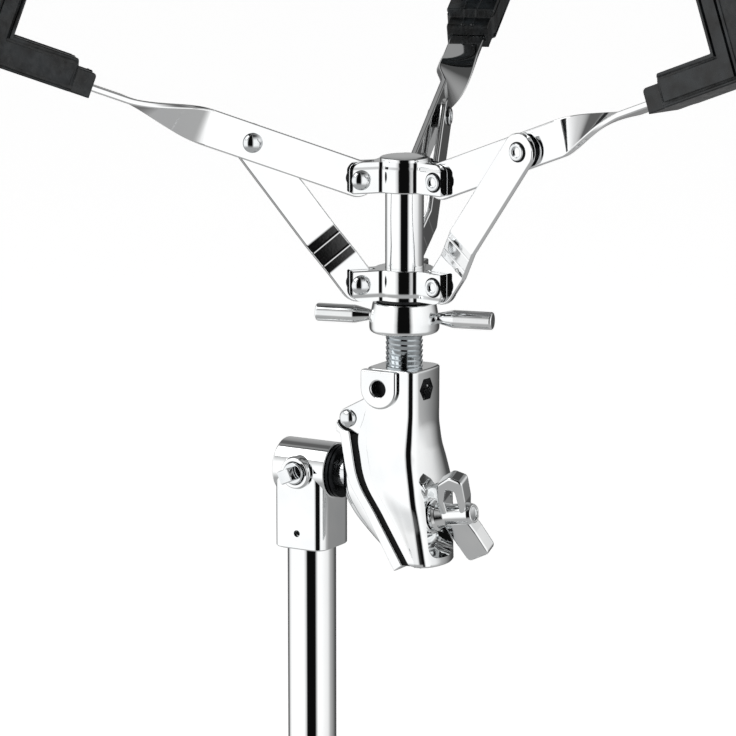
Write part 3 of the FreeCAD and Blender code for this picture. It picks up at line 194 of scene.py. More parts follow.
# Chromium over a buffed zinc casting: a mirror that swims a little, as castings do.
CAST = Finish(
    name="chromium plate on buffed zinc casting", slot="chrome_cast", colour="#fafbfb", second="#f3f5f6",
    rough=0.025, wear=0.035, metallic=1.0, mark_mm=1.2, wave_mm=14.0, wave_depth=0.006)
# Chromium over pressed steel strip: flat mirror faces with a faint rolled grain.
STRIP = Finish(
    name="chromium plate on pressed steel strip", slot="chrome_strip", colour="#fbfcfc", second="#f6f7f8",
    rough=0.035, wear=0.03, metallic=1.0, mark_mm=1.0, wave_mm=30.0, wave_depth=0.004)
# Chromium over cold headed fasteners: bright, a touch greyer than the castings.
FASTENER = Finish(
    name="chromium plate on cold headed steel", slot="plated_fastener", colour="#f2f4f5", second="#e8ebed",
    rough=0.045, wear=0.05, metallic=1.0, mark_mm=0.8, wave_mm=6.0, wave_depth=0.003)
# Rolled thread under thin plate: greyer, with a matt bloom in the roots.
THREAD = Finish(
    name="chromium plate on rolled thread", slot="chrome_tube", colour="#c6cbce", second="#b4bbbf",
    rough=0.08, wear=0.07, metallic=1.0, mark_mm=0.6, wave_mm=5.0, wave_depth=0.003)
# Phosphated black steel: dark with a satin sheen. The dark rings under the rolled rivet ends use it too, as
# painted shade.
DARK = Finish(
    name="phosphated black steel", slot="dark_steel", colour="#2a2b2d", second="#1b1c1d",
    rough=0.34, wear=0.18, metallic=1.0, mark_mm=0.5, wave_mm=4.0, wave_depth=0.01)
# Moulded natural rubber: near black, with a soft sheen that bloom and mould grain break up.
RUBBER = Finish(
    name="moulded black rubber", slot="rubber", colour="#020202", second="#2a2f32",
    rough=0.2, wear=0.28, metallic=0.0, mark_mm=2.6, wave_mm=8.0, wave_depth=0.12)
# Dull black with hardly any sheen: painted shade, for the sheet that fills the empty joint between the
# tilter's jaws.
JOINT_SHADE = Finish(
    name="black sheet of painted shade", slot="nylon", colour="#050505", second="#090909",
    rough=0.8, wear=0.15, metallic=0.0, mark_mm=0.5, wave_mm=5.0, wave_depth=0.02)
# Moulded nylon: black with the soft sheen of a bead blasted mould.
NYLON = Finish(
    name="moulded black nylon", slot="nylon", colour="#17181a", second="#202225",
    rough=0.4, wear=0.16, metallic=0.0, mark_mm=0.6, wave_mm=7.0, wave_depth=0.03)


# Shapes in millimetres

# A tool that cuts right through reaches this far to both sides.
THROUGH = 20.0
# A corner is left alone where half its angle is larger than this.
FLAT_CORNER = math.radians(88.0)
# The rounding of a corner takes up at most this share of an edge.
EDGE_SHARE = 0.48


def turned_to(axis: Axis) -> Matrix:
    """Gives the turn that lays a piece made along Z along another axis.

    Args:
        axis: Axis that the piece lies along after the turn.

    Returns:
        The turn.
    """
    turns = {Axis.X: ("Y", 90.0), Axis.Y: ("X", -90.0), Axis.MINUS_Y: ("X", 90.0)}
    letter, angle = turns[axis]
    return spun(letter, angle)


def at(x: float = 0.0, y: float = 0.0, z: float = 0.0) -> Matrix:
    """Gives a move by millimetres."""
    return Matrix.Translation((x, y, z))


def spun(letter: str, degrees: float) -> Matrix:
    """Gives a turn about a main axis."""
    return Matrix.Rotation(math.radians(degrees), 4, letter)


# Middle of the tilt axis.
CENTRE = at(0.0, 0.0, TILT)


def arc(centre: Point, radius: float, degrees: Iterable[float], rise: float | None = None) -> Outline:
    """Gives points on a circle, or on an ellipse where a rise is given.

    Args:
        centre: Centre of the circle.
        radius: Its radius, along the first axis.
        degrees: Turns of the points from the first axis.
        rise: Half size along the second axis, where it differs.

    Returns:
        The points in order.
    """
    second = radius if rise is None else rise
    turns = [math.radians(turn) for turn in degrees]
    return [(centre[0] + radius * math.cos(t), centre[1] + second * math.sin(t)) for t in turns]


def softened(points: Sequence[Point], radius: float | Sequence[float], steps: int = 5,
             closed: bool = True) -> Outline:
    """Rounds the corners of an outline.

    Args:
        points: Corners in order.
        radius: One radius for all corners, or one for each.
        steps: Straight pieces in each rounded corner.
        closed: True where the last corner joins the first.

    Returns:
        The outline with an arc at each corner.
    """
    count = len(points)
    radii = [radius] * count if isinstance(radius, (int, float)) else list(radius)
    rounded: Outline = []
    for i, corner in enumerate(points):
        if not closed and i in (0, count - 1) or radii[i] <= 0.0:
            rounded.append(corner)
            continue
        here = Vector(corner)
        back = Vector(points[i - 1]) - here
        ahead = Vector(points[(i + 1) % count]) - here
        half = back.angle(ahead) / 2.0
        if half > FLAT_CORNER:
            rounded.append(corner)
            continue
        cut = min(radii[i] / math.tan(half), back.length * EDGE_SHARE, ahead.length * EDGE_SHARE)
        start, end = here + back.normalized() * cut, here + ahead.normalized() * cut
        for k in range(steps + 1):
            t = k / steps
            bend = start * (1 - t) ** 2 + here * 2 * t * (1 - t) + end * t ** 2
            rounded.append((bend.x, bend.y))
    return rounded


def turned(profile: Sequence[Point], steps: int = 72, closed: bool = False) -> bmesh.types.BMesh:
    """Makes a turned solid about Z.

    Args:
        profile: Points of radius and height, from the bottom of the axis to its top, or a closed wall.
        steps: Facets around the axis.
        closed: True where the profile is a closed wall that keeps clear of the axis.

    Returns:
        The mesh, with outward faces.
    """
    mesh = bmesh.new()
    rings = []
    for radius, height in profile:
        if radius < 1e-6:
            rings.append([mesh.verts.new((0.0, 0.0, height))])
            continue
        turns = [2.0 * math.pi * k / steps for k in range(steps)]
        rings.append([mesh.verts.new((radius * math.cos(a), radius * math.sin(a), height)) for a in turns])
    pairs = list(zip(rings, rings[1:])) + ([(rings[-1], rings[0])] if closed else [])
    for low, high in pairs:
        for k in range(steps):
            n = (k + 1) % steps
            corners = [low[k % len(low)], low[n % len(low)], high[n % len(high)], high[k % len(high)]]
            corners = list(dict.fromkeys(corners))
            if len(corners) > 2:
                mesh.faces.new(corners)
    bmesh.ops.recalc_face_normals(mesh, faces=mesh.faces)
    return mesh


def rod(radius: float, low: float, high: float, steps: int) -> bmesh.types.BMesh:
    """Makes a plain round bar about Z."""
    return turned([(0.0, low), (radius, low), (radius, high), (0.0, high)], steps)


def washer(bore: float, rim: float, low: float, high: float, soft: float, bends: int = 2,
           steps: int = 48) -> bmesh.types.BMesh:
    """Makes a flat ring about Z, with its edges rounded in a number of bends."""
    wall = [(bore, low), (rim, low), (rim, high), (bore, high)]
    return turned(softened(wall, soft, bends), steps, closed=True)


def pressed(outline: Sequence[Point], thick: float) -> bmesh.types.BMesh:
    """Makes a plate from an outline in X and Z, centred on Y.

    Args:
        outline: Corners of X and Z in order.
        thick: Thickness along Y.

    Returns:
        The closed mesh, with outward faces.
    """
    mesh = bmesh.new()
    near = [mesh.verts.new((x, -thick / 2.0, z)) for x, z in outline]
    far = [mesh.verts.new((x, thick / 2.0, z)) for x, z in outline]
    mesh.faces.new(near)
    mesh.faces.new(list(reversed(far)))
    for i in range(len(near)):
        n = (i + 1) % len(near)
        mesh.faces.new([near[n], near[i], far[i], far[n]])
    bmesh.ops.recalc_face_normals(mesh, faces=mesh.faces)
    return mesh


def lofted(loops: Sequence[Sequence[Vector]]) -> bmesh.types.BMesh:
    """Makes a closed skin through loops of the same number of points.

    Args:
        loops: Closed loops along the piece.

    Returns:
        The mesh, capped at both ends.
    """
    mesh = bmesh.new()
    rows = [[mesh.verts.new(p) for p in loop] for loop in loops]
    count = len(rows[0])
    for low, high in zip(rows, rows[1:]):
        for k in range(count):
            n = (k + 1) % count
            mesh.faces.new([low[k], low[n], high[n], high[k]])
    mesh.faces.new(rows[0])
    mesh.faces.new(list(reversed(rows[-1])))
    bmesh.ops.recalc_face_normals(mesh, faces=mesh.faces)
    return mesh


def joined(parts: Iterable[tuple[bmesh.types.BMesh, Matrix]]) -> bmesh.types.BMesh:
    """Brings several meshes into one.

    Args:
        parts: Meshes, which are freed, and the place of each.

    Returns:
        The whole mesh.
    """
    whole = bmesh.new()
    for part, place in parts:
        part.transform(place)
        held = bpy.data.meshes.new("part")
        part.to_mesh(held)
        part.free()
        whole.from_mesh(held)
        bpy.data.meshes.remove(held)
    return whole


def on_bench(mesh: bmesh.types.BMesh) -> bpy.types.Object:
    """Puts a mesh into the scene for a while, so that modifiers can work on it.

    Args:
        mesh: Mesh that goes in, which is freed.

    Returns:
        The object that holds it.
    """
    data = bpy.data.meshes.new("bench")
    mesh.to_mesh(data)
    mesh.free()
    thing = bpy.data.objects.new("bench", data)
    bpy.context.scene.collection.objects.link(thing)
    return thing


def off_bench(thing: bpy.types.Object, *tools: bpy.types.Object) -> bmesh.types.BMesh:
    """Takes what an object's modifiers make of it, and drops the object.

    Args:
        thing: Object with its modifiers.
        tools: Other objects on the bench, which are dropped as well.

    Returns:
        The plain mesh.
    """
    bpy.context.view_layer.update()
    seen = thing.evaluated_get(bpy.context.evaluated_depsgraph_get())
    result = bpy.data.meshes.new_from_object(seen)
    thing.modifiers.clear()
    out = bmesh.new()
    out.from_mesh(result)
    bpy.data.meshes.remove(result)
    for used in (thing, *tools):
        data = used.data
        bpy.data.objects.remove(used)
        bpy.data.meshes.remove(data)
    return out


def carved(mesh: bmesh.types.BMesh, tool: bmesh.types.BMesh) -> bmesh.types.BMesh:
    """Cuts one closed mesh out of another.

    Args:
        mesh: Mesh that is cut.
        tool: Mesh that is taken away.

    Returns:
        The cut mesh.
    """
    base, knife = on_bench(mesh), on_bench(tool)
    cutter = base.modifiers.new("cut", "BOOLEAN")
    cutter.operation = "DIFFERENCE"
    cutter.solver = "EXACT"
    cutter.object = knife
    return off_bench(base, knife)


def add_bevel(thing: bpy.types.Object, width: float, crease: float) -> bpy.types.Modifier:
    """Adds a modifier that rounds sharp edges.

    Args:
        thing: Object that gets it.
        width: Width of the rounding, in the units of the mesh.
        crease: Angle from which an edge is rounded, in degrees.

    Returns:
        The modifier.
    """
    bevel = thing.modifiers.new("rounded edges", "BEVEL")
    bevel.width = width
    bevel.segments = 3
    bevel.limit_method = "ANGLE"
    bevel.angle_limit = math.radians(crease)
    return bevel


def eased(mesh: bmesh.types.BMesh, width: float) -> bmesh.types.BMesh:
    """Rounds the sharp edges of a mesh for good.

    Args:
        mesh: Mesh with flat faces.
        width: Width of the rounding.

    Returns:
        The rounded mesh.
    """
    thing = on_bench(mesh)
    add_bevel(thing, width, 30.0)
    return off_bench(thing)


def bar_loop(half_wide: float, half_thick: float, edge: float) -> Outline:
    """Gives the rounded section of a strip, as across and through distances."""
    corners = [(half_wide, half_thick), (-half_wide, half_thick),
               (-half_wide, -half_thick), (half_wide, -half_thick)]
    return softened(corners, min(edge, half_wide * 0.9), 3)


@dataclass
class Dressing:
    """How a finished mesh becomes a piece of the scene.

    Attributes:
        finish: Its material.
        body: CAD body that it rides on.
        soften: Width of the rounded edges, in millimetres, or 0.
        crease: Angle from which an edge is rounded or kept sharp.
    """

    finish: Finish
    body: str
    soften: float = 0.0
    crease: float = 38.0

    def show(self, name: str, mesh: bmesh.types.BMesh, place: Matrix, *nodes: str) -> None:
        """Puts a mesh into the scene as a piece that rides on its body and stands for CAD nodes.

        Args:
            name: Name of the piece.
            mesh: Mesh in millimetres, about its own origin.
            place: Where the mesh goes, in millimetres.
            nodes: CAD nodes that the piece stands for.
        """
        mesh.transform(Matrix.Scale(MM, 4) @ place)
        data = bpy.data.meshes.new(name)
        mesh.to_mesh(data)
        mesh.free()
        data.materials.append(self.finish.material())
        data.shade_smooth()
        piece = bpy.data.objects.new(name, data)
        bpy.context.scene.collection.objects.link(piece)
        if self.soften > 0.0:
            bevel = add_bevel(piece, self.soften * MM, self.crease)
            bevel.harden_normals = True
            bevel.miter_outer = "MITER_ARC"
        else:
            data.set_sharp_from_angle(angle=math.radians(self.crease))
            piece.modifiers.new("flat faces", "WEIGHTED_NORMAL").keep_sharp = True
        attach(piece, self.body)
        if nodes:
            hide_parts(*nodes)
        log.info("%s rides on %s, %d faces", piece.name, self.body, len(data.polygons))


# Rules for repeated and twisted pieces

# Above 1 a strip twists quickly at first and slowly at the end.
TWIST_EASE = 1.5
# Foot and crest of a thread's ridge, as shares of the pitch.
RIDGE_FOOT, RIDGE_CREST = 0.9, 0.46


class Socket(Enum):
    """A kind of value that a rule takes."""

    WHOLE = "NodeSocketInt"
    MEASURE = "NodeSocketFloat"


class Rule:
    """A geometry node tree with named inputs, which is run on a mesh and gives a plain mesh."""

    def __init__(self, name: str, sizes: dict[str, Socket]) -> None:
        """Starts the tree.

        Args:
            name: Name of the tree.
            sizes: Kinds of its inputs, by name.
        """
        self.tree = bpy.data.node_groups.new(name, "GeometryNodeTree")
        face = self.tree.interface
        face.new_socket("Geometry", in_out="INPUT", socket_type="NodeSocketGeometry")
        for label, kind in sizes.items():
            face.new_socket(label, in_out="INPUT", socket_type=kind.value)
        face.new_socket("Material", in_out="INPUT", socket_type="NodeSocketMaterial")
        face.new_socket("Geometry", in_out="OUTPUT", socket_type="NodeSocketGeometry")
        self.given = add(self.tree, "NodeGroupInput").outputs

    def close(self, shape: bpy.types.NodeSocket) -> None:
        """Ends the tree with real geometry and its material.

        Args:
            shape: Socket that gives the geometry.
        """
        real = add(self.tree, "GeometryNodeRealizeInstances", {"Geometry": shape})
        dressed = add(self.tree, "GeometryNodeSetMaterial",
                      {"Geometry": real.outputs["Geometry"], "Material": self.given["Material"]})
        add(self.tree, "NodeGroupOutput", {"Geometry": dressed.outputs["Geometry"]})

    def run(self, mesh: bmesh.types.BMesh, sizes: dict[str, Any], finish: Finish) -> bmesh.types.BMesh:
        """Runs the tree on a mesh.

        Args:
            mesh: Mesh that goes in, in millimetres.
            sizes: Values of the named inputs.
            finish: Material of the result.

        Returns:
            The plain mesh that comes out.
        """
        holder = on_bench(mesh)
        modifier = holder.modifiers.new("rule", "NODES")
        modifier.node_group = self.tree
        values = dict(sizes, Material=finish.material())
        for item in self.tree.interface.items_tree:
            if item.in_out == "INPUT" and item.name in values:
                modifier[item.identifier] = values[item.name]
        return off_bench(holder)


def ring_rule() -> Rule:
    """Builds the tree that repeats a mesh around Z at even turns.

    Returns:
        The rule.
    """
    rule = Rule("repeat around the axis", {"Count": Socket.WHOLE, "Radius": Socket.MEASURE})
    tree, given = rule.tree, rule.given
    ring = add(tree, "GeometryNodeMeshCircle", {"Vertices": given["Count"], "Radius": given["Radius"]})
    number = add(tree, "GeometryNodeInputIndex")
    step = add(tree, "ShaderNodeMath", {0: 2.0 * math.pi, 1: given["Count"]}, operation="DIVIDE")
    turn = add(tree, "ShaderNodeMath", {0: number.outputs[0], 1: step.outputs[0]}, operation="MULTIPLY")
    spin = add(tree, "ShaderNodeCombineXYZ", {"Z": turn.outputs[0]})
    copies = add(tree, "GeometryNodeInstanceOnPoints",
                 {"Points": ring.outputs["Mesh"], "Instance": given["Geometry"], "Rotation": spin.outputs[0]})
    rule.close(copies.outputs["Instances"])
    return rule


def twist_rule() -> Rule:
    """Builds the tree that twists a mesh about X between two stations.

    Returns:
        The rule.
    """
    rule = Rule("twist along the strip",
                {"Start": Socket.MEASURE, "End": Socket.MEASURE, "Angle": Socket.MEASURE})
    tree, given = rule.tree, rule.given
    where = add(tree, "GeometryNodeInputPosition")
    parts = add(tree, "ShaderNodeSeparateXYZ", {"Vector": where.outputs[0]})
    ahead = add(tree, "ShaderNodeMapRange",
                {"Value": parts.outputs["X"], "From Min": given["Start"], "From Max": given["End"],
                 "To Min": 1.0, "To Max": 0.0})
    left = add(tree, "ShaderNodeMath", {0: ahead.outputs[0], 1: TWIST_EASE}, operation="POWER")
    done = add(tree, "ShaderNodeMath", {0: 1.0, 1: left.outputs[0]}, operation="SUBTRACT")
    turn = add(tree, "ShaderNodeMath", {0: done.outputs[0], 1: given["Angle"]}, operation="MULTIPLY")
    turned_point = add(tree, "ShaderNodeVectorRotate", {"Vector": where.outputs[0], "Angle": turn.outputs[0]},
                       rotation_type="X_AXIS")
    moved = add(tree, "GeometryNodeSetPosition",
                {"Geometry": given["Geometry"], "Position": turned_point.outputs[0]})
    rule.close(moved.outputs["Geometry"])
    return rule


def thread_rule() -> Rule:
    """Builds the tree that winds the ridge of a thread, from an empty mesh.

    Returns:
        The rule.
    """
    rule = Rule("wind the thread", {"Turns": Socket.MEASURE, "Pitch": Socket.MEASURE,
                                    "Radius": Socket.MEASURE, "Depth": Socket.MEASURE})
    tree, given = rule.tree, rule.given
    tall = add(tree, "ShaderNodeMath", {0: given["Turns"], 1: given["Pitch"]}, operation="MULTIPLY")
    wire = add(tree, "GeometryNodeCurveSpiral",
               {"Resolution": 48, "Rotations": given["Turns"], "Start Radius": given["Radius"],
                "End Radius": given["Radius"], "Height": tall.outputs[0], "Reverse": False})
    wide = add(tree, "ShaderNodeMath", {0: given["Pitch"], 1: RIDGE_FOOT}, operation="MULTIPLY")
    slim = add(tree, "ShaderNodeMath", {0: given["Pitch"], 1: RIDGE_CREST}, operation="MULTIPLY")
    deep = add(tree, "ShaderNodeMath", {0: given["Depth"], 1: 2.0}, operation="MULTIPLY")
    ridge = add(tree, "GeometryNodeCurvePrimitiveQuadrilateral",
                {"Height": deep.outputs[0], "Bottom Width": wide.outputs[0], "Top Width": slim.outputs[0],
                 "Offset": 0.0}, mode="TRAPEZOID")
    upright = add(tree, "GeometryNodeSetCurveNormal", {"Curve": wire.outputs["Curve"]}, mode="Z_UP")
    skin = add(tree, "GeometryNodeCurveToMesh",
               {"Curve": upright.outputs["Curve"], "Profile Curve": ridge.outputs["Curve"],
                "Fill Caps": True})
    rule.close(skin.outputs["Mesh"])
    return rule


RING = ring_rule()
TWIST = twist_rule()
WIND = thread_rule()


def around(mesh: bmesh.types.BMesh, radius: float, finish: Finish) -> bmesh.types.BMesh:
    """Repeats a mesh at the three stations of a circle."""
    return RING.run(mesh, {"Count": len(STATIONS), "Radius": radius}, finish)


def dome_profile(radius: float, rise: float, seat: float, shank: float) -> Outline:
    """Gives the half section of a rivet's domed head, from its shank up to its crown.

    Args:
        radius: Radius of the head.
        rise: Height of the dome.
        seat: Height that the head sits at.
        shank: Depth of the shank below 0.

    Returns:
        Points of radius and height.
    """
    neck = radius * 0.6
    under = [(0.0, -shank), (neck, -shank), (neck, seat), (radius * 0.97, seat)]
    return under + arc((0.0, seat), radius, range(0, 90, 9), rise) + [(0.0, seat + rise)]


def roll_profile(radius: float, rise: float, seat: float, shank: float, bore: float) -> Outline:
    """Gives the half section of a rolled hollow rivet end.

    Args:
        radius: Radius of the roll.
        rise: Height of the roll.
        seat: Height that the roll sits at.
        shank: Depth of the shank below 0, short of its last 2 millimetres.
        bore: Radius of the hollow.

    Returns:
        Points of radius and height.
    """
    neck, foot = radius * 0.7, -shank - 2.0
    lip = softened([(neck, seat), (radius, seat), (radius, seat + rise), (bore, seat + rise),
                    (bore, seat - rise * 0.3)],
                   [0.0, rise * 0.4, rise * 0.8, rise * 0.7, 0.0], 6, closed=False)
    return [(0.0, foot), (neck, foot)] + lip + [(bore * 0.5, seat - rise), (0.0, seat - rise * 2.2)]


# Sub-assemblies


@dataclass
class CadCoat:
    """Pieces whose CAD shape is right, with merged faces and rounded edges.

    Attributes:
        body: CAD body.
        finish: Material of the pieces.
        soften: Width of the rounded edges, in millimetres.
        nodes: CAD nodes.
        merge: Distance within which corners become one, in millimetres.
        flat: Angle within which faces become one, in degrees.
    """

    body: str
    finish: Finish
    soften: float
    nodes: tuple[str, ...]
    merge: ClassVar[float] = 0.002
    flat: ClassVar[float] = 0.6

    @classmethod
    def copy(cls, node: str) -> bmesh.types.BMesh:
        """Copies a node's mesh, in millimetres, with its loose triangles merged.

        Args:
            node: CAD node.

        Returns:
            The merged copy.
        """
        mesh = bmesh.new()
        mesh.from_mesh(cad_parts[node].data)
        mesh.transform(Matrix.Scale(1.0 / MM, 4))
        bmesh.ops.remove_doubles(mesh, verts=mesh.verts, dist=cls.merge)
        bmesh.ops.dissolve_limit(mesh, angle_limit=math.radians(cls.flat), verts=mesh.verts, edges=mesh.edges)
        return mesh

    def build(self) -> None:
        """Dresses a copy of each node."""
        for node in self.nodes:
            Dressing(self.finish, self.body, self.soften).show("dressed_" + node, self.copy(node), at(), node)


@dataclass
class Tubes:
    """The two tubes of the stand, with rolled lips.

    Attributes:
        upper_radius: Radius of the upper tube.
        upper_low: Lower end of the upper tube.
        upper_top: Upper end of the upper tube.
        lower_radius: Radius of the lower tube.
        lower_low: Lower end of the lower tube.
        lower_top: Upper end of the lower tube.
        wall: Wall of both tubes.
        lip: Rounding of their ends.
    """

    upper_radius: float = 11.1
    upper_low: float = 130.0
    upper_top: float = TILT - 17.1
    lower_radius: float = 14.3
    lower_low: float = 24.0
    lower_top: float = 283.0
    wall: float = 1.6
    lip: float = 0.5

    def tube(self, radius: float, low: float, top: float) -> bmesh.types.BMesh:
        """Makes a tube about Z.

        Args:
            radius: Outer radius.
            low: Lower end.
            top: Upper end.

        Returns:
            The tube's wall.
        """
        inside = radius - self.wall
        wall = softened([(radius, low), (radius, top), (inside, top), (inside, low)], self.lip, 4)
        return turned(wall, 128, closed=True)

    def build(self) -> None:
        """Builds both tubes."""
        upper = self.tube(self.upper_radius, self.upper_low, self.upper_top)
        Dressing(TUBE, "mast").show("mast_tube", upper, at(), "upper_tube")
        lower = self.tube(self.lower_radius, self.lower_low, self.lower_top)
        Dressing(TUBE, "base").show("base_tube", lower, at(), "lower_tube")


@dataclass
class Basket:
    """Post, hubs, nut, arms and links of the drum basket.

    Heights are above the tilt axis and radii from the basket's axis. Lengths along an arm or a link start at
    its pivot on the hub.

    Attributes:
        offset: Distance of the basket's axis from the tubes' axis.
        turn: Turn of the first arm about the basket's axis.
        hub_high: Height of the upper hub's pivots.
        hub_low: Height of the lower hub's pivots.
        pivot: Radius of the hub pivots.
        barrel: Radius of a hub's barrel.
        reach: Radius of the lugs' ends.
        tall: Height of a hub from its pivots to its rounded side.
        short: Height of a hub from its pivots to its flat side.
        lug_bend: Rounding of the lugs on the rounded side.
        rim_soft: Rounding of the rims on both sides.
        cheek: Half width of a lug.
        slot: Half width of the slot in a lug.
        fillet: Radius between the barrel and a lug.
        post: Radius of the smooth post.
        post_clear: Clearance of a hub on the post.
        thread_low: Lower end of the thread.
        thread_high: Upper end of the thread's core.
        overlap: Length of the core that the smooth post covers.
        thread: Outer radius of the thread.
        pitch: Rise of the thread in a turn.
        depth: Depth of the thread.
        runout: Turns that the ridge stops short of the core's end.
        cap: Radius of the cap on the post.
        cap_edge: Height of the cap's upright edge.
        cap_rise: Height of the cap's dome.
        rivet_head: Radius and rise of a rivet's domed head.
        rivet_roll: Radius and rise of a rivet's rolled end.
        rivet_bore: Radius of the hollow in a rolled end.
        shade_ring: Bore and radius of the dark ring under a rolled end, painted shade for the shadow line
            round the roll.
        nut_turn: Turn of the nut's handles.
        nut_tall: Height of the nut.
        nut_knee: Depth, from its top, where the nut is widest.
        nut_foot: Radius of the nut from its knee down.
        nut_head: Radius of the nut's top.
        nut_clear: Clearance of the nut on the thread.
        bar_stations: Radii where a handle starts, leaves its neck, is at full width and ends.
        bar_neck: Half thickness of a handle's neck.
        bar_wide: Half thickness of a handle.
        bar_drop: Depth of the handles below the nut's top.
        thrust_ring: Bore and radius of the thrust washer.
        thrust: Distance from the nut to the hub, which the washer fills but for a gap.
        thrust_gap: Gap under the thrust washer.
        arm_slope: Rise of an arm, in degrees.
        arm_join: Length of an arm to the rivet of its link.
        arm_end: Length of an arm.
        twist_start: Length to the start of an arm's twist.
        twist_end: Length to the end of an arm's twist.
        twist_steps: Sections along the twist.
        strip_half: Half width of the arms and links.
        strip_thick: Thickness of the arms and links.
        strip_edge: Rounding of their edges.
        nose_least: Half width at the tip of a round end.
        link_clear: Gap between an arm and its link.
        bend_start: Length to the start of a link's double bend.
        bend_end: Length to the end of a link's double bend.
        bend_soft: Rounding of both bends.
        creases: Places of the creases in the bend, as shares of its length.
        crease_rise: Height of a crease.
        crease_fall: Slope of a crease's sides.
        spacer: Bore and radius of the spacer between an arm and its link.
        tip_soft: Rounding of a rubber tip.
        groove: Width of the grooves in a tip's sides.
        groove_start: Length to the start of the grooves.
        groove_top: Upper end of the grooves, above the arm's middle.
        groove_lines: Length and height of each groove's outer corner.
        groove_side: Distance of the grooves to either side of the arm.
        groove_wide: Width of the cut that makes a groove in a side.
        beads: Corners of the bead on a tip's face, as length, distance to the side and height.
        bead: Radius of a bead.
        bead_end: Radius and rise of a bead's end.
    """

    offset: float = 48.6
    turn: float = -12.0
    hub_high: float = 137.2
    hub_low: float = 90.4
    pivot: float = 21.9
    barrel: float = 13.4
    reach: float = 26.0
    tall: float = 7.6
    short: float = 6.2
    lug_bend: float = 4.2
    rim_soft: float = 0.7
    cheek: float = 5.65
    slot: float = 1.7
    fillet: float = 3.6
    post: float = 8.6
    post_clear: float = 0.1
    thread_low: float = 26.1
    thread_high: float = 94.4
    overlap: float = 1.0
    thread: float = 8.15
    pitch: float = 2.31
    depth: float = 0.8
    runout: float = 0.6
    cap: float = 11.0
    cap_edge: float = 0.9
    cap_rise: float = 1.5
    rivet_head: Point = (4.5, 2.9)
    rivet_roll: Point = (3.8, 1.3)
    rivet_bore: float = 2.1
    shade_ring: Point = (3.0, 4.5)
    nut_turn: float = 13.5
    nut_tall: float = 13.8
    nut_knee: float = 8.5
    nut_foot: float = 15.7
    nut_head: float = 14.1
    nut_clear: float = 0.05
    bar_stations: tuple[float, float, float, float] = (11.0, 15.8, 23.0, 41.0)
    bar_neck: float = 2.4
    bar_wide: float = 4.05
    bar_drop: float = 6.9
    thrust_ring: Point = (8.9, 12.6)
    thrust: float = 1.7
    thrust_gap: float = 0.3
    arm_slope: float = 20.5
    arm_join: float = 51.6
    arm_end: float = 175.0
    twist_start: float = 72.0
    twist_end: float = 113.0
    twist_steps: int = 56
    strip_half: float = 8.2
    strip_thick: float = 2.8
    strip_edge: float = 0.85
    nose_least: float = 0.3
    link_clear: float = 1.5
    bend_start: float = 12.0
    bend_end: float = 27.4
    bend_soft: float = 4.0
    creases: Point = (0.28, 0.74)
    crease_rise: float = 0.14
    crease_fall: float = 0.35
    spacer: Point = (4.0, 5.4)
    tip_soft: float = 1.1
    groove: float = 1.4
    groove_start: float = 138.4
    groove_top: float = 62.0
    groove_lines: Sequence[Point] = ((173.6, 7.4), (181.0, -3.2))
    groove_side: float = 11.5
    groove_wide: float = 2.4
    beads: Sequence[tuple[float, float, float]] = (
        (131.6, 2.3, 6.5), (138.9, 2.7, 6.5), (140.6, 2.8, 10.3), (170.4, 4.5, 10.3))
    bead: float = 0.55
    bead_end: Point = (1.0, 0.8)

    def axis(self, height: float) -> Matrix:
        """Gives a place on the basket's axis, at a height above the tilt axis."""
        return at(self.offset, 0.0, TILT + height)

    def station(self, number: int, radius: float, height: float, pitch: float) -> Matrix:
        """Gives a place on one of the three stations.

        Args:
            number: Station, from 0.
            radius: Distance from the basket's axis.
            height: Height above the tilt axis.
            pitch: Rise of the piece's X axis, in degrees.

        Returns:
            The place, with X along the piece and Y across it.
        """
        return self.axis(height) @ spun("Z", self.turn + 120.0 * number) @ at(radius) @ spun("Y", -pitch)

    def build(self) -> None:
        """Builds every piece of the basket."""
        self.build_post()
        self.build_hub("upper_hub", "tilter", self.hub_high, Side.UPRIGHT)
        self.build_hub("lower_hub", "lower_hub", self.hub_low, Side.OVER)
        self.build_nut()
        for number, tag in enumerate(STATIONS):
            self.build_arm(number, tag)
            self.build_link(number, tag)
            self.build_tip(number, tag)

    def build_post(self) -> None:
        """Builds the wound thread, the smooth post above it and the cap."""
        top = self.hub_high + self.tall
        root = self.thread - self.depth
        core = rod(root, self.thread_low, self.thread_high, 64)
        turns = (self.thread_high - self.thread_low) / self.pitch - self.runout
        sizes = {"Turns": turns, "Pitch": self.pitch, "Radius": root, "Depth": self.depth}
        ridge = WIND.run(bmesh.new(), sizes, THREAD)
        screw = joined([(core, at()), (ridge, at(0.0, 0.0, self.thread_low))])
        bmesh.ops.recalc_face_normals(screw, faces=screw.faces)
        Dressing(THREAD, "tilter").show("post_thread", screw, self.axis(0.0))
        start = self.thread_high - self.overlap
        smooth = softened([(0.0, start), (self.post, start), (self.post, top), (0.0, top)],
                          [0.0, 1.0, 0.6, 0.0], 4, closed=False)
        Dressing(TUBE, "tilter").show("post_shaft", turned(smooth, 96), self.axis(0.0), "basket_post")
        dome = arc((0.0, self.cap_edge), self.cap, range(0, 90, 10), self.cap_rise)
        cap = [(0.0, 0.0), (self.cap, 0.0)] + dome + [(0.0, self.cap_edge + self.cap_rise)]
        Dressing(CAST, "tilter").show("post_cap", turned(cap, 72), self.axis(top), "hub_cap")

    def painted_shade_ring(self, face: float) -> bmesh.types.BMesh:
        """Makes the dark ring under a rolled rivet end, on a face at a height: painted shade for the shadow
        line round the roll.
        """
        return washer(*self.shade_ring, face - 0.1, face + 0.25, 0.1)

    def build_hub(self, name: str, body: str, height: float, side: Side) -> None:
        """Builds a hub: a barrel with three forked lugs and the rivets in them.

        Args:
            name: CAD node of the hub.
            body: CAD body of the hub.
            height: Height of its pivots above the tilt axis.
            side: Which way up it sits.
        """
        up, bend, rim = side.value, self.lug_bend, self.rim_soft
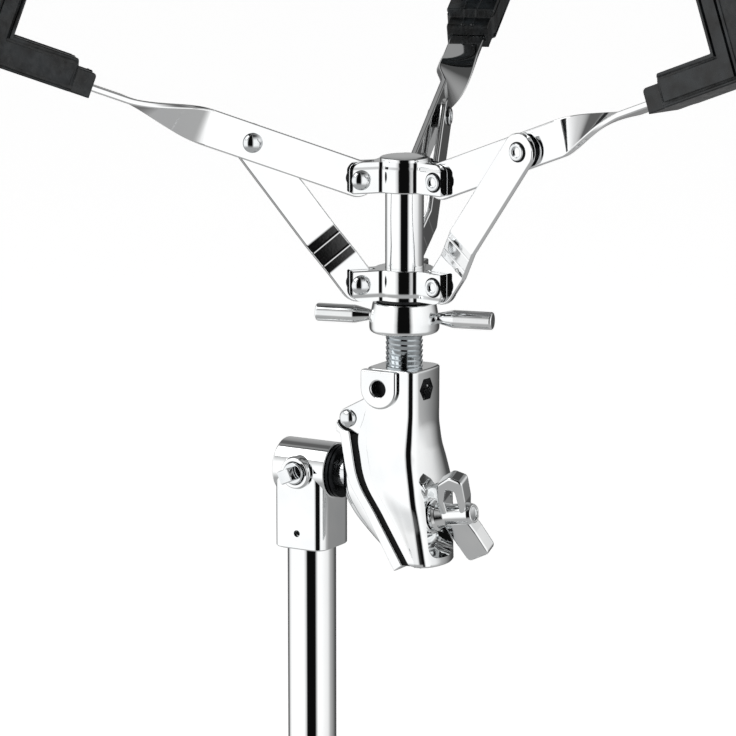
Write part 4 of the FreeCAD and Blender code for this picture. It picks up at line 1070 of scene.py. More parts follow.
        # Heights, and how far the outline draws in there: a small rounding first and a large one last.
        levels = [(-self.short, rim), (-self.short + 0.2, 0.3), (-self.short + rim, 0.0), (0.0, 0.0)]
        for k in range(9):
            angle = math.radians(10.0 * k)
            levels.append((self.tall - bend + bend * math.sin(angle), bend * (1.0 - math.cos(angle))))
        levels.append((self.tall, bend))
        loops = []
        for z, inset in levels:
            loops.append([Vector((x, y, z * up)) for x, y in self.hub_plan(inset, min(inset, rim))])
        casting = carved(lofted(loops), rod(self.post + self.post_clear, -THROUGH, THROUGH, 96))
        place = self.axis(height) @ spun("Z", self.turn)
        Dressing(CAST, body, crease=46.0).show(name + "_casting", casting, place, name)
        head = turned(dome_profile(*self.rivet_head, self.cheek, 0.0), 36)
        roll = turned(roll_profile(*self.rivet_roll, self.cheek, 0.0, self.rivet_bore), 36)
        rivet = joined([(head, turned_to(Axis.Y)), (roll, turned_to(Axis.MINUS_Y))])
        rivets = around(rivet, self.pivot, FASTENER)
        Dressing(FASTENER, body).show(name + "_heads", rivets, place, name + "_rivets")
        # Dark rings under the rolled ends: painted shade for the shadow line round each roll.
        shade_ring = self.painted_shade_ring(self.cheek)
        shade_ring.transform(turned_to(Axis.MINUS_Y))
        Dressing(DARK, body).show(name + "_shade_rings", around(shade_ring, self.pivot, DARK), place)

    def hub_plan(self, inset: float, soft: float) -> Outline:
        """Gives a hub's outline from above, with a fillet between the barrel and each lug.

        Args:
            inset: How far the lugs' ends draw in.
            soft: How far the sides draw in, for the rounded rims.

        Returns:
            The closed outline about the post.
        """
        barrel, cheek, slot = self.barrel - soft, self.cheek - soft, self.slot + soft * 0.4
        reach, throat = self.reach - inset, self.barrel + 0.6
        aside, swing = cheek + self.fillet, barrel + self.fillet
        hollow = math.sqrt(swing ** 2 - aside ** 2)
        meet = math.degrees(math.asin(aside / swing))
        sweep = [180.0 - meet + (90.0 + meet - 180.0) * k / 6.0 for k in range(7)]
        lug = arc((hollow, -aside), self.fillet, sweep)
        lug += [(reach - 0.5, -cheek), (reach - 0.1, -cheek + 0.1), (reach, -cheek + 0.5),
                (reach, -slot - 0.3), (reach - 0.3, -slot), (throat, -slot)]
        lug += [(x, -y) for x, y in reversed(lug)]
        rim = arc((0.0, 0.0), barrel, [meet + (120.0 - 2.0 * meet) * k / 14.0 for k in range(1, 14)])
        outline: Outline = []
        for number in range(len(STATIONS)):
            turn = math.radians(120.0 * number)
            cos, sin = math.cos(turn), math.sin(turn)
            outline += [(x * cos - y * sin, x * sin + y * cos) for x, y in lug + rim]
        return outline

    def build_nut(self) -> None:
        """Builds the basket nut, its two bar handles and the thrust washer."""
        top = self.hub_low - self.tall - self.thrust
        bore, low = self.thread + self.nut_clear, -self.nut_tall
        wall = softened([(bore, low), (self.nut_foot, low), (self.nut_foot, -self.nut_knee),
                         (self.nut_head, 0.0), (bore, 0.0)], [0.3, 2.6, 12.0, 0.8, 0.3], 8)
        place = self.axis(top) @ spun("Z", self.nut_turn)
        Dressing(CAST, "basket_nut").show("nut_body", turned(wall, 96, closed=True), place, "basket_nut")
        root, neck, full, end = self.bar_stations
        bar = softened([(0.0, root), (self.bar_neck, root), (self.bar_neck, neck), (self.bar_wide, full),
                        (self.bar_wide, end), (0.0, end)], [0.0, 0.0, 1.0, 6.0, 1.1, 0.0], 6, closed=False)
        bars = joined([(turned(bar, 48), spun("Z", turn) @ at(0.0, 0.0, -self.bar_drop) @ turned_to(Axis.X))
                       for turn in (0.0, 180.0)])
        Dressing(CAST, "basket_nut").show("nut_bars", bars, place, "basket_nut_handles")
        ring = washer(*self.thrust_ring, self.thrust_gap, self.thrust, 0.3, 3, 64)
        Dressing(NYLON, "lower_hub").show("nut_washer", ring, self.axis(top), "thrust_washer")

    def strip_stations(self, length: float, extra: Iterable[float]) -> Outline:
        """Gives stations along a strip, with a round end at the hub.

        Args:
            length: Last station.
            extra: Stations between the hub pivot and the last one.

        Returns:
            Stations and the half width at each.
        """
        rounding = arc((0.0, 0.0), self.strip_half, range(0, 90, 6))
        nose = [(-x, max(half, self.nose_least)) for x, half in rounding]
        return nose + [(x, self.strip_half) for x in sorted({0.0, length, *extra})]

    def strip_loop(self, x: float, half: float, away: float = 0.0) -> list[Vector]:
        """Gives a strip's section at a station, from its half width and its distance to the side."""
        section = bar_loop(half, self.strip_thick / 2.0, self.strip_edge)
        return [Vector((x, through + away, across)) for across, through in section]

    def build_arm(self, number: int, tag: str) -> None:
        """Builds one arm: a strip twisted a quarter turn, with the dome of its link rivet.

        Args:
            number: Station, from 0.
            tag: Letter of the station.
        """
        span = self.twist_end - self.twist_start
        extra = [self.twist_start + span * k / self.twist_steps for k in range(self.twist_steps + 1)]
        loops = [self.strip_loop(x, half) for x, half in self.strip_stations(self.arm_end, extra)]
        sizes = {"Start": self.twist_start, "End": self.twist_end, "Angle": math.radians(-90.0)}
        strip = TWIST.run(lofted(loops), sizes, STRIP)
        place = self.station(number, self.pivot, self.hub_high, self.arm_slope)
        body = "arm_" + tag
        Dressing(STRIP, body).show(body + "_bar", strip, place, body + "_strip")
        face = self.strip_thick / 2.0
        head = turned(dome_profile(*self.rivet_head, face, face), 36)
        joint = place @ at(self.arm_join) @ turned_to(Axis.Y)
        Dressing(FASTENER, body).show(body + "_head", head, joint, body + "_rivet")

    def build_link(self, number: int, tag: str) -> None:
        """Builds one link: a strip with a double bend, with the rolled end of its rivet.

        Args:
            number: Station, from 0.
            tag: Letter of the station.
        """
        along = self.arm_join * math.cos(math.radians(self.arm_slope))
        rise = self.arm_join * math.sin(math.radians(self.arm_slope)) + self.hub_high - self.hub_low
        length, slope = math.hypot(along, rise), math.degrees(math.atan2(rise, along))
        shift = self.strip_thick + self.link_clear
        line = softened([(-self.strip_half, 0.0), (self.bend_start, 0.0), (self.bend_end, -shift),
                         (length + self.strip_half, -shift)], self.bend_soft, 10, closed=False)
        creases = [self.bend_start + (self.bend_end - self.bend_start) * share for share in self.creases]
        marks = [crease + beside for crease in creases for beside in (-0.7, -0.4, 0.0, 0.4, 0.7)]
        stations = self.strip_stations(length, [x for x, _ in line if 0.0 < x < length] + marks)
        rounding = arc((0.0, 0.0), self.strip_half, range(6, 91, 6))
        stations += [(length + past, max(half, self.nose_least)) for half, past in rounding]
        loops = []
        for x, half in stations:
            dents = sum(max(0.0, self.crease_rise - abs(x - crease) * self.crease_fall) for crease in creases)
            loops.append(self.strip_loop(x, half, self.level(line, x) + dents))
        place = self.station(number, self.pivot, self.hub_low, slope)
        body = "link_" + tag
        Dressing(STRIP, body).show(body + "_bar", lofted(loops), place, body + "_strip")
        end = place @ at(length, -shift) @ turned_to(Axis.MINUS_Y)
        face = self.strip_thick / 2.0
        roll = turned(roll_profile(*self.rivet_roll, face, face, self.rivet_bore), 36)
        Dressing(FASTENER, body).show(body + "_roll", roll, end, body + "_rivet")
        spacer = washer(*self.spacer, -face - self.link_clear, -face, 0.15)
        Dressing(NYLON, body).show(body + "_spacer", spacer, end)
        # Dark ring under the rolled end: painted shade for the shadow line round the roll.
        Dressing(DARK, body).show(body + "_shade_ring", self.painted_shade_ring(face), end)

    @staticmethod
    def level(line: Outline, x: float) -> float:
        """Reads the height of a line at a station.

        Args:
            line: Stations, rising, and heights.
            x: Station.

        Returns:
            The height there, or that of the nearer end.
        """
        for (x0, y0), (x1, y1) in zip(line, line[1:]):
            if x0 <= x <= x1 and x1 > x0:
                return y0 + (y1 - y0) * (x - x0) / (x1 - x0)
        return line[0][1] if x < line[0][0] else line[-1][1]

    def build_tip(self, number: int, tag: str) -> None:
        """Builds one rubber tip, moulded over the arm's outer end.

        Args:
            number: Station, from 0.
            tag: Letter of the station.
        """
        body = "arm_" + tag
        tip = eased(CadCoat.copy(body + "_tip"), self.tip_soft)
        place = self.station(number, self.pivot, self.hub_high, self.arm_slope)
        start, top = self.groove_start, self.groove_top
        for far, low in self.groove_lines:
            near, high = far - self.groove, low + self.groove
            outline = [(start, low), (far, low), (far, top), (near, top), (near, high), (start, high)]
            for side in (-self.groove_side, self.groove_side):
                tool = pressed(outline, self.groove_wide)
                tool.transform(place @ at(0.0, side))
                tip = carved(tip, tool)
        parts = [(tip, at())]
        for side in (-1.0, 1.0):
            path = [Vector((x, side * y, z)) for x, y, z in self.beads]
            for first, second in zip(path, path[1:]):
                run = second - first
                lean = run.to_track_quat("Z", "Y").to_matrix().to_4x4()
                parts.append((rod(self.bead, 0.0, run.length, 16), place @ Matrix.Translation(first) @ lean))
            dome = turned(dome_profile(*self.bead_end, 0.0, 0.4), 24)
            parts.append((dome, place @ Matrix.Translation(path[0])))
        Dressing(RUBBER, body).show(body + "_rubber", joined(parts), at(), body + "_tip")


@dataclass
class Stand:
    """The pieces below the basket that are dressed from their CAD shapes.

    Attributes:
        coats: Nodes that share a body, a finish and a rounding.
    """

    coats: list[CadCoat] = field(default_factory=lambda: [
        CadCoat("base", NYLON, 0.4, ("tube_plug", "height_bush")),
        CadCoat("base", CAST, 0.8, ("strut_collar", "height_clamp")),
        CadCoat("base", FASTENER, 0.35, ("strut_collar_rivets", "height_clamp_nut")),
        CadCoat("height_bolt", FASTENER, 0.8, ("height_wing_bolt",)),
        CadCoat("leg_collar", CAST, 0.8, ("leg_collar",)),
        CadCoat("leg_collar", FASTENER, 0.35, ("leg_collar_rivets",)),
        CadCoat("leg_bolt", FASTENER, 0.8, ("leg_wing_bolt",)),
        CadCoat("memory_lock", CAST, 0.8, ("memory_lock",)),
        CadCoat("memory_lock", FASTENER, 0.4, ("memory_lock_bolt",)),
        CadCoat("mast", DARK, 0.2, ("knuckle_pin",)),
        CadCoat("tilter", FASTENER, 0.4, ("tilt_shaft", "tilter_stud")),
        CadCoat("tilter", DARK, 0.2, ("collar_set_screw", "collar_lock_nut")),
    ])

    def build(self) -> None:
        """Dresses the tripod, the clamps and the small pieces of the knuckle and the tilter."""
        for tag in STATIONS:
            self.coats.append(CadCoat("leg_" + tag, STRIP, 0.4, ("leg_%s_strips" % tag,)))
            self.coats.append(CadCoat("leg_" + tag, RUBBER, 1.0, ("leg_%s_foot" % tag,)))
            self.coats.append(CadCoat("strut_" + tag, STRIP, 0.4, ("strut_%s_strips" % tag,)))
        for coat in self.coats:
            coat.build()


@dataclass
class Knuckle:
    """The cast T-head on the upper tube and its key bolt.

    Attributes:
        barrel: Radius of the cross barrel.
        bore: Radius of its bore.
        ends: Ends of the barrel along the tilt axis.
        recess: Depth of the recess in its right end.
        socket: Width of the rounded square socket.
        corner: Rounding of the socket's corners.
        drop: Lower end of the socket below the tilt axis.
        pin: Radius of the hole through the socket, and its height from the tilt axis.
        boss: Radius of the bolt's boss.
        boss_bore: Radius of its bore.
        boss_deep: Depth of the boss behind its face.
        dish: Outer and inner radius of the dish in the boss's face.
        dish_deep: Depth of that dish.
        reach: Face of the boss from the tubes' axis.
        shank: Radius of the bolt's shank, and its inner end from the boss's face.
        flange: Radius of the bolt's flange, and its outer face.
        head: Half width of the bolt's square head.
        head_turn: Turn of the square head.
        head_sizes: Heights of the head, and its share of the full width there.
    """

    barrel: float = 12.8
    bore: float = 7.05
    ends: Point = (-13.6, 13.6)
    recess: float = 4.0
    socket: float = 26.4
    corner: float = 6.2
    drop: float = 36.0
    pin: Point = (1.6, -28.5)
    boss: float = 7.0
    boss_bore: float = 3.1
    boss_deep: float = 6.0
    dish: Point = (5.5, 5.1)
    dish_deep: float = 1.0
    reach: float = 15.6
    shank: Point = (2.9, -8.2)
    flange: Point = (5.0, 1.4)
    head: float = 3.15
    head_turn: float = 24.0
    head_sizes: Sequence[Point] = ((0.0, 1.0), (7.9, 1.0), (8.4, 0.93), (8.6, 0.8))

    def build(self) -> None:
        """Builds the barrel, the socket, the boss and the bolt."""
        cast = Dressing(CAST, "mast")
        left, right = self.ends
        inner = right - self.recess
        barrel = softened([
            (self.bore, left), (self.barrel, left), (self.barrel, right), (self.barrel - 1.6, right),
            (self.barrel - 2.2, inner), (self.bore, inner)], [0.2, 0.9, 0.5, 0.5, 0.5, 0.2], 6)
        cast.show("knuckle_barrel", turned(barrel, 128, closed=True), CENTRE @ turned_to(Axis.X), "knuckle")
        cast.show("knuckle_socket", self.socket_shell(), CENTRE)
        wide, back, floor = self.boss + 0.6, -self.boss_deep, -self.dish_deep
        boss = softened([
            (self.boss_bore, back), (wide, back), (wide, -1.6), (self.boss, 0.0), (self.dish[0], 0.0),
            (self.dish[1], floor), (self.boss_bore, floor)], [0.0, 0.0, 1.2, 0.7, 0.35, 0.3, 0.0], 5)
        front = CENTRE @ at(0.0, -self.reach) @ turned_to(Axis.MINUS_Y)
        cast.show("knuckle_boss", turned(boss, 72, closed=True), front)
        Dressing(FASTENER, "mast").show("knuckle_bolt", self.bolt(), front, "knuckle_key_bolt")

    def bolt(self) -> bmesh.types.BMesh:
        """Makes the key bolt about Z, with its flange and its square head.

        Returns:
            The bolt, with the boss's face at height 0.
        """
        half = self.head
        square = softened([(half, half), (-half, half), (-half, -half), (half, -half)], 0.9, 4)
        loops = [[Vector((x * size, y * size, z)) for x, y in square] for z, size in self.head_sizes]
        shank, low = self.shank
        wide, high = self.flange
        flange = softened([(0.0, low), (shank, low), (shank, -0.4), (wide, -0.4), (wide, high), (0.0, high)],
                          [0.0, 0.0, 0.0, 0.3, 0.8, 0.0], 5, closed=False)
        return joined([(lofted(loops), spun("Z", self.head_turn)), (turned(flange, 48), at())])

    def socket_shell(self) -> bmesh.types.BMesh:
        """Makes the socket as a rounded square that runs up into the barrel.

        Returns:
            The socket, with the hole through it.
        """
        half = self.socket / 2.0
        # Heights, and how far the sides draw in there.
        heights = [(-self.drop, 0.8), (-self.drop + 0.25, 0.35), (-self.drop + 0.8, 0.0), (-20.0, 0.0),
                   (-6.0, 0.0), (-2.0, 0.5), (0.0, 1.6)]
        loops = []
        for z, inset in heights:
            side = half - inset
            square = [(side, -side), (side, side), (-side, side), (-side, -side)]
            loops.append([Vector((x, y, z)) for x, y in softened(square, self.corner, 12)])
        radius, height = self.pin
        hole = rod(radius, -THROUGH, THROUGH, 32)
        hole.transform(at(0.0, 0.0, height) @ turned_to(Axis.Y))
        return carved(lofted(loops), hole)


@dataclass
class Tilter:
    """The two jaws of the tilter with the hinge pin, the brake ring and a dull black sheet between the jaws,
    which is painted shade in the empty joint.

    Attributes:
        gap: Width of the joint between the jaws.
        line: Joint's corners on the back jaw, from the top down, as distances and heights from the tilt axis.
        rear: Rear edge of the front jaw, as heights and distances, from the top down.
        face: Middle of the front face, as heights and distances.
        flare: Half widths of the front jaw, as heights and distances.
        bow: Bow of the front face, as heights and distances.
        nick: Rounding beside the rear edge, as heights and distances.
        step: Rise from the rim along the joint to the body, as heights and distances.
        neck: Depth of the neck behind the joint, as heights and distances.
        rim: Half width of the jaws at the joint.
        corner: Radius of the corners beside the front face.
        hinge: Place of the hinge pin.
        pin: Radius and rise of the pin's domed ends.
        eye: Radius of the front jaw's eyes round the pin.
        lug: Corners that join an eye to the collar.
        lug_thick: Thickness of each lug.
        lug_aside: Distance of each lug to the side.
        tongue: Radius of the back jaw's tongue round the pin.
        tongue_low: Lower end of the tongue.
        tongue_thick: Thickness of the tongue.
        seat: Radius of the back jaw's hollow under the eyes.
        curl: Inner and outer radius of the black sheet of painted shade round the eyes.
        lap: How far the black sheet of painted shade runs into both jaws.
        post_bore: Radius of the collar's bore for the basket post.
        screw: Place of the set screw in the collar.
        screw_hole: Radius of its hole.
        boss: Radius of the boss round the set screw.
        boss_top: Upper end of the boss.
        boss_thick: Thickness of the boss.
        nut_hole: Radius of the six-sided hole for the lock nut.
        nut_aside: Distance of that hole to the left.
        nut_ends: Distances that it runs between.
        rim_deep: Depth of the back jaw's rim.
        rim_foot: Lowest corner of that rim.
        rim_shoulder: Corners of that rim below the hinge.
        neck_half: Half width of the neck.
        neck_sink: Depth that the neck starts at, behind the joint.
        hollow: Distance, half width, top and low end of each section of the hollow round the wing nut.
        brake: Bore, start and end of the brake ring on the tilt axis.
    """

    gap: float = 3.4
    line: Sequence[Point] = ((27.8, 20.5), (31.4, -0.5), (40.4, -13.5), (55.0, -36.9))
    rear: Sequence[Point] = (
        (52.0, 35.6), (30.0, 35.6), (20.5, 31.2), (-0.5, 34.8), (-13.5, 43.8), (-36.9, 58.4))
    face: Sequence[Point] = (
        (52.0, 62.0), (28.0, 62.2), (16.0, 64.2), (0.0, 67.6), (-13.0, 69.0), (-37.0, 71.0))
    flare: Sequence[Point] = (
        (52.0, 13.0), (28.0, 13.0), (19.0, 14.6), (10.0, 16.8), (0.0, 18.2), (-8.0, 18.0), (-20.0, 16.0),
        (-37.0, 13.9))
    bow: Sequence[Point] = ((52.0, 1.6), (30.0, 2.0), (16.0, 4.4), (-37.0, 4.4))
    nick: Sequence[Point] = ((52.0, 4.0), (40.0, 4.0), (33.0, 0.8), (-37.0, 0.8))
    step: Sequence[Point] = ((52.0, 0.0), (24.0, 0.0), (18.0, 0.6), (-37.0, 0.6))
    neck: Sequence[Point] = (
        (11.0, 5.0), (9.0, 8.6), (0.0, 11.0), (-9.5, 17.0), (-18.0, 16.4), (-27.0, 11.4), (-33.0, 6.0))
    rim: float = 13.0
    corner: float = 4.6
    hinge: Point = (27.0, 27.9)
    pin: Point = (4.1, 2.7)
    eye: float = 4.8
    lug: Sequence[Point] = ((31.6, 20.8), (40.0, 20.8), (40.0, 40.0), (36.0, 38.2))
    lug_thick: float = 6.8
    lug_aside: float = 9.4
    tongue: float = 3.8
    tongue_low: float = 15.0
    tongue_thick: float = 11.4
    seat: float = 6.0
    curl: Point = (4.6, 6.6)
    lap: float = 0.6
    post_bore: float = 8.3
    screw: Point = (43.7, 43.0)
    screw_hole: float = 3.5
    boss: float = 9.2
    boss_top: float = 51.4
    boss_thick: float = 4.4
    nut_hole: float = 5.5
    nut_aside: float = 3.0
    nut_ends: Point = (59.0, 72.0)
    rim_deep: float = 5.2
    rim_foot: Point = (50.8, -39.9)
    rim_shoulder: Sequence[Point] = ((20.6, 21.4), (20.4, 25.4))
    neck_half: float = 12.3
    neck_sink: float = 1.5
    hollow: Sequence[tuple[float, float, float, float]] = (
        (60.0, 9.4, -4.0, -28.0), (60.5, 10.4, -3.0, -29.0), (62.0, 11.2, -2.0, -30.0),
        (66.0, 12.8, 0.4, -31.6), (80.0, 16.4, 4.0, -36.0))
    brake: tuple[float, float, float] = (7.1, 13.9, 17.7)

    def build(self) -> None:
        """Builds both jaws and the small pieces between them."""
        self.build_front()
        self.build_back()
        # A dull black sheet fills the joint and curls round the eyes: painted shade, where the real joint is
        # an empty gap in shadow.
        joint_shade_outline = [(x - self.lap, z) for x, z in self.joint(0.0)]
        joint_shade_outline += [(x + self.lap, z) for x, z in reversed(self.joint(self.gap))]
        sweep = range(196, 281, 7)
        curl = arc(self.hinge, self.curl[0], sweep) + arc(self.hinge, self.curl[1], reversed(sweep))
        joint_shade_sheet = joined([(pressed(outline, (self.rim - 1.4) * 2.0), at()) for outline in (joint_shade_outline, curl)])
        Dressing(JOINT_SHADE, "tilter", 0.2).show("jaw_joint_shade", joint_shade_sheet, CENTRE)
        dome = dome_profile(*self.pin, self.rim, 0.0)
        pin = joined([(turned(dome, 48), turned_to(axis)) for axis in (Axis.Y, Axis.MINUS_Y)])
        hinge = at(self.hinge[0], 0.0, TILT + self.hinge[1])
        Dressing(FASTENER, "tilter").show("hinge_pin", pin, hinge, "tilter_hinge_pin")
        bore, low, high = self.brake
        ridges = [(bore, low)]
        for start in (low, low + 2.0):
            ridges += [(11.6, start), (12.0, start + 0.3), (12.0, start + 1.5), (11.2, start + 1.8)]
        ring = turned(ridges + [(bore, high)], 72, closed=True)
        Dressing(DARK, "tilter").show("brake_ring", ring, CENTRE @ turned_to(Axis.X), "brake_washer")

    def screw_tool(self) -> bmesh.types.BMesh:
        """Makes the tool that cuts the set screw's hole.

        Returns:
            The tool, in its place.
        """
        tool = rod(self.screw_hole, -8.0, 12.0, 40)
        tool.transform(at(self.screw[0], -15.0, self.screw[1]) @ turned_to(Axis.MINUS_Y))
        return tool

    def build_front(self) -> None:
        """Builds the front jaw: body, collar, screw boss, hinge lugs and the nose behind the wing nut."""
        x, z = self.screw
        hexagon = arc((0.0, 0.0), self.nut_hole, range(0, 360, 60))
        recess = lofted([[Vector((depth, y - self.nut_aside, up + z)) for y, up in hexagon]
                         for depth in self.nut_ends])
        bore = rod(self.post_bore, -8.0, 8.0, 64)
        bore.transform(at(Basket.offset, 0.0, self.rear[0][0]))
        jaw = self.body()
        for tool in (self.pocket(), self.screw_tool(), recess, bore):
            jaw = carved(jaw, tool)
        Dressing(CAST, "tilter", crease=42.0).show("jaw_body", jaw, CENTRE, "tilter_front_jaw")
        plate = arc(self.screw, self.boss, range(180, 361, 10))
        plate += [(x + self.boss, self.boss_top), (x - self.boss, self.boss_top)]
        boss = pressed(plate, self.boss_thick)
        boss.transform(at(0.0, -self.rim - 0.1))
        Dressing(CAST, "tilter", 1.2, 40.0).show("jaw_boss", carved(boss, self.screw_tool()), CENTRE)
        lug = arc(self.hinge, self.eye, range(120, 271, 10)) + list(self.lug)
        pair = joined([(pressed(lug, self.lug_thick), at(0.0, side))
                       for side in (-self.lug_aside, self.lug_aside)])
        Dressing(CAST, "tilter", 0.9, 30.0).show("jaw_lugs", pair, CENTRE)
        nose = turned(softened([(0.0, -8.0), (9.4, -8.0), (8.2, -0.4), (5.0, -0.4), (4.6, -2.0), (0.0, -2.0)],
                               [0.0, 0.0, 1.2, 0.5, 0.4, 0.0], 5, closed=False), 64)
        Dressing(CAST, "tilter").show("jaw_nose", nose, WingNut.place())

    def build_back(self) -> None:
        """Builds the back jaw: a rim along the joint, a rounded neck on the shaft and the hinge tongue."""
        joint = self.joint(0.0)
        behind = [(x - self.rim_deep, z) for x, z in reversed(joint[:-1])]
        seat = arc(self.hinge, self.seat, range(204, 275, 7))
        rim = joint + [self.rim_foot] + behind + list(self.rim_shoulder) + seat
        plate = pressed(rim, self.rim * 2.0)
        Dressing(CAST, "tilter", 1.2).show("back_rim", plate, CENTRE, "tilter_back_jaw")
        edge = [(z, x) for x, z in joint]
        swing = [math.radians(6.0 * n) for n in range(-15, 16)]
        loops = []
        for k in range(45):
            height = self.neck[0][0] - k
            front = self.read(edge, height) - self.neck_sink
            deep = self.read(self.neck, height)
            bow = [(front - deep * math.cos(a) ** 0.85, self.neck_half * math.sin(a)) for a in swing]
            loops.append([Vector((px, py, height)) for px, py in bow])
        Dressing(CAST, "tilter", crease=50.0).show("back_neck", lofted(loops), CENTRE)
        tongue = arc(self.hinge, self.tongue, range(-10, 191, 10))
        tongue += [(self.hinge[0] - self.tongue, self.tongue_low), (self.hinge[0] + 1.2, self.tongue_low)]
        Dressing(CAST, "tilter", 0.6).show("back_tongue", pressed(tongue, self.tongue_thick), CENTRE)

    def pocket(self) -> bmesh.types.BMesh:
        """Makes the tool that cuts the hollow round the wing nut.

        Returns:
            The tool, in its place.
        """
        loops = []
        for x, wide, top, low in self.hollow:
            narrow = wide * 0.84
            outline = softened([(wide, top), (-wide, top), (-narrow, low), (narrow, low)], 6.0, 8)
            loops.append([Vector((x, y, z)) for y, z in outline])
        return lofted(loops)

    def joint(self, away: float) -> Outline:
        """Gives the joint's smooth line, moved forward by a distance."""
        moved = [(x + away, z) for x, z in self.line]
        return softened(moved, [0.0, 34.0, 34.0, 0.0], 8, closed=False)

    @staticmethod
    def read(table: Sequence[Point], height: float) -> float:
        """Reads a table of heights and distances, with soft bends.

        Args:
            table: Heights, from the top down, and distances.
            height: Height that is looked up.

        Returns:
            The distance there, or that of the nearer end.
        """
        curve = softened(table, 40.0, 8, closed=False)
        for (high, first), (low, second) in zip(curve, curve[1:]):
            if low <= height <= high and high > low:
                return first + (second - first) * (high - height) / (high - low)
        return curve[0][1] if height > curve[0][0] else curve[-1][1]

    def section(self, height: float, inset: float = 0.0) -> list[Vector]:
        """Gives the front jaw's closed section at a height.

        Args:
            height: Height from the tilt axis.
            inset: How far the section draws in, for the rounded ends.

        Returns:
            Points from the rear edge round the near side, the front face and back.
        """
        edge = self.read(self.rear, height) + inset
        nick, step, bow = (self.read(table, height) for table in (self.nick, self.step, self.bow))
        rim = self.rim - inset
        half = max(self.read(self.flare, height) - inset, rim + step)
        front = self.read(self.face, height) - inset
        lip = edge + max(5.0, nick + 1.5)
        bend = front - bow - self.corner
        near = [(edge + nick * (1.0 - math.sin(a)), rim - nick * (1.0 - math.cos(a)))
                for a in (math.radians(90.0 - 18.0 * k) for k in range(6))]
        near += [(lip - 0.6, rim), (lip - 0.3, rim + step * 0.2), (lip, rim + step)]
        for k in range(1, 9):
            t = k / 8.0
            near.append((lip + (bend - lip) * t, rim + step + (half - rim - step) * t * t * (3.0 - 2.0 * t)))
        tip = half - self.corner
        turn_end = front - bow * (tip / half) ** 2
        knee = front - bow + 0.5
        for k in range(1, 10):
            t = k / 10.0
            near.append(((1 - t) ** 2 * bend + 2 * t * (1 - t) * knee + t * t * turn_end,
                         (1 - t) ** 2 * half + 2 * t * (1 - t) * half + t * t * tip))
        for k in range(9):
            across = tip * (1.0 - k / 8.0)
            near.append((front - bow * (across / half) ** 2, across))
        far = [(x, -across) for x, across in reversed(near[:-1])]
        return [Vector((x, -across, height)) for x, across in near + far]

    def body(self) -> bmesh.types.BMesh:
        """Makes the front jaw and its collar as a skin through its sections.

        Returns:
            The closed skin, before anything is cut out of it.
        """
        low, high = self.line[-1][1], self.rear[0][0]
        ends = [(low, 1.1), (low + 0.3, 0.5), (low + 1.0, 0.0)]
        rises = [(low + 1.0 + (high - 2.0 - low) * k / 72.0, 0.0) for k in range(1, 73)]
        top = [(high - 0.6, 0.15), (high - 0.2, 0.5), (high, 1.0)]
        return lofted([self.section(z, inset) for z, inset in ends + rises + top])


@dataclass
class WingNut:
    """The cast wing nut of the tilter.

    Attributes:
        seat: Where the nut's axis meets the jaw, from the tilt axis.
        slope: Fall of the nut's axis, in degrees, less than 0 where it rises.
        turn: Turn of the wings about the axis.
        thick: Thickness of the wings.
        hub: Half section of the hub, as radii and heights.
        hub_soft: Rounding of each of its corners.
        long: Corners of the longer wing.
        long_soft: Rounding of each of its corners.
        short: Corners of the shorter wing, which has an open slot.
        short_soft: Rounding of each of its corners.
    """

    seat: ClassVar[Point] = (64.5, -15.0)
    slope: ClassVar[float] = -9.0
    turn: float = 22.0
    thick: float = 8.0
    hub: Sequence[Point] = (
        (0.0, 0.3), (7.2, 0.3), (7.2, 1.8), (6.2, 3.0), (4.8, 7.0), (4.8, 12.0), (5.0, 18.6), (4.2, 20.6),
        (3.2, 20.6), (2.6, 18.4), (0.0, 18.4))
    hub_soft: Sequence[float] = (0.0, 0.4, 0.6, 1.0, 4.0, 3.0, 2.0, 0.8, 0.5, 0.8, 0.0)
    long: Sequence[Point] = ((2.0, 4.8), (9.0, 6.6), (23.2, 11.2), (19.4, 23.2), (8.0, 20.2), (2.0, 18.0))
    long_soft: Sequence[float] = (0.0, 6.0, 2.4, 2.4, 6.0, 0.0)
    short: Sequence[Point] = (
        (-2.0, 4.8), (-9.0, 5.8), (-18.0, 8.8), (-21.4, 16.4), (-18.4, 22.0), (-8.0, 20.2), (-2.0, 18.0),
        (-2.0, 15.4), (-13.8, 16.6), (-14.8, 12.6), (-9.0, 9.6), (-2.0, 9.0))
    short_soft: Sequence[float] = (0.0, 6.0, 3.0, 3.0, 2.4, 5.0, 0.0, 0.0, 1.6, 1.6, 3.0, 0.0)

    @classmethod
    def place(cls) -> Matrix:
        """Gives the place of the nut's seat, with Z along its axis."""
        return at(cls.seat[0], 0.0, TILT + cls.seat[1]) @ spun("Y", 90.0 + cls.slope)

    def build(self) -> None:
        """Builds the hub with its hollow end, and both wings."""
        place = self.place() @ spun("Z", self.turn)
        hub = turned(softened(self.hub, self.hub_soft, 5, closed=False), 64)
        Dressing(CAST, "wing_nut").show("nut_hub", hub, place, "tilter_wing_nut")
        edged = Dressing(CAST, "wing_nut", 1.2, 30.0)
        edged.show("nut_long_wing", pressed(softened(self.long, self.long_soft, 6), self.thick), place)
        edged.show("nut_short_wing", pressed(softened(self.short, self.short_soft, 6), self.thick), place)


# Studio


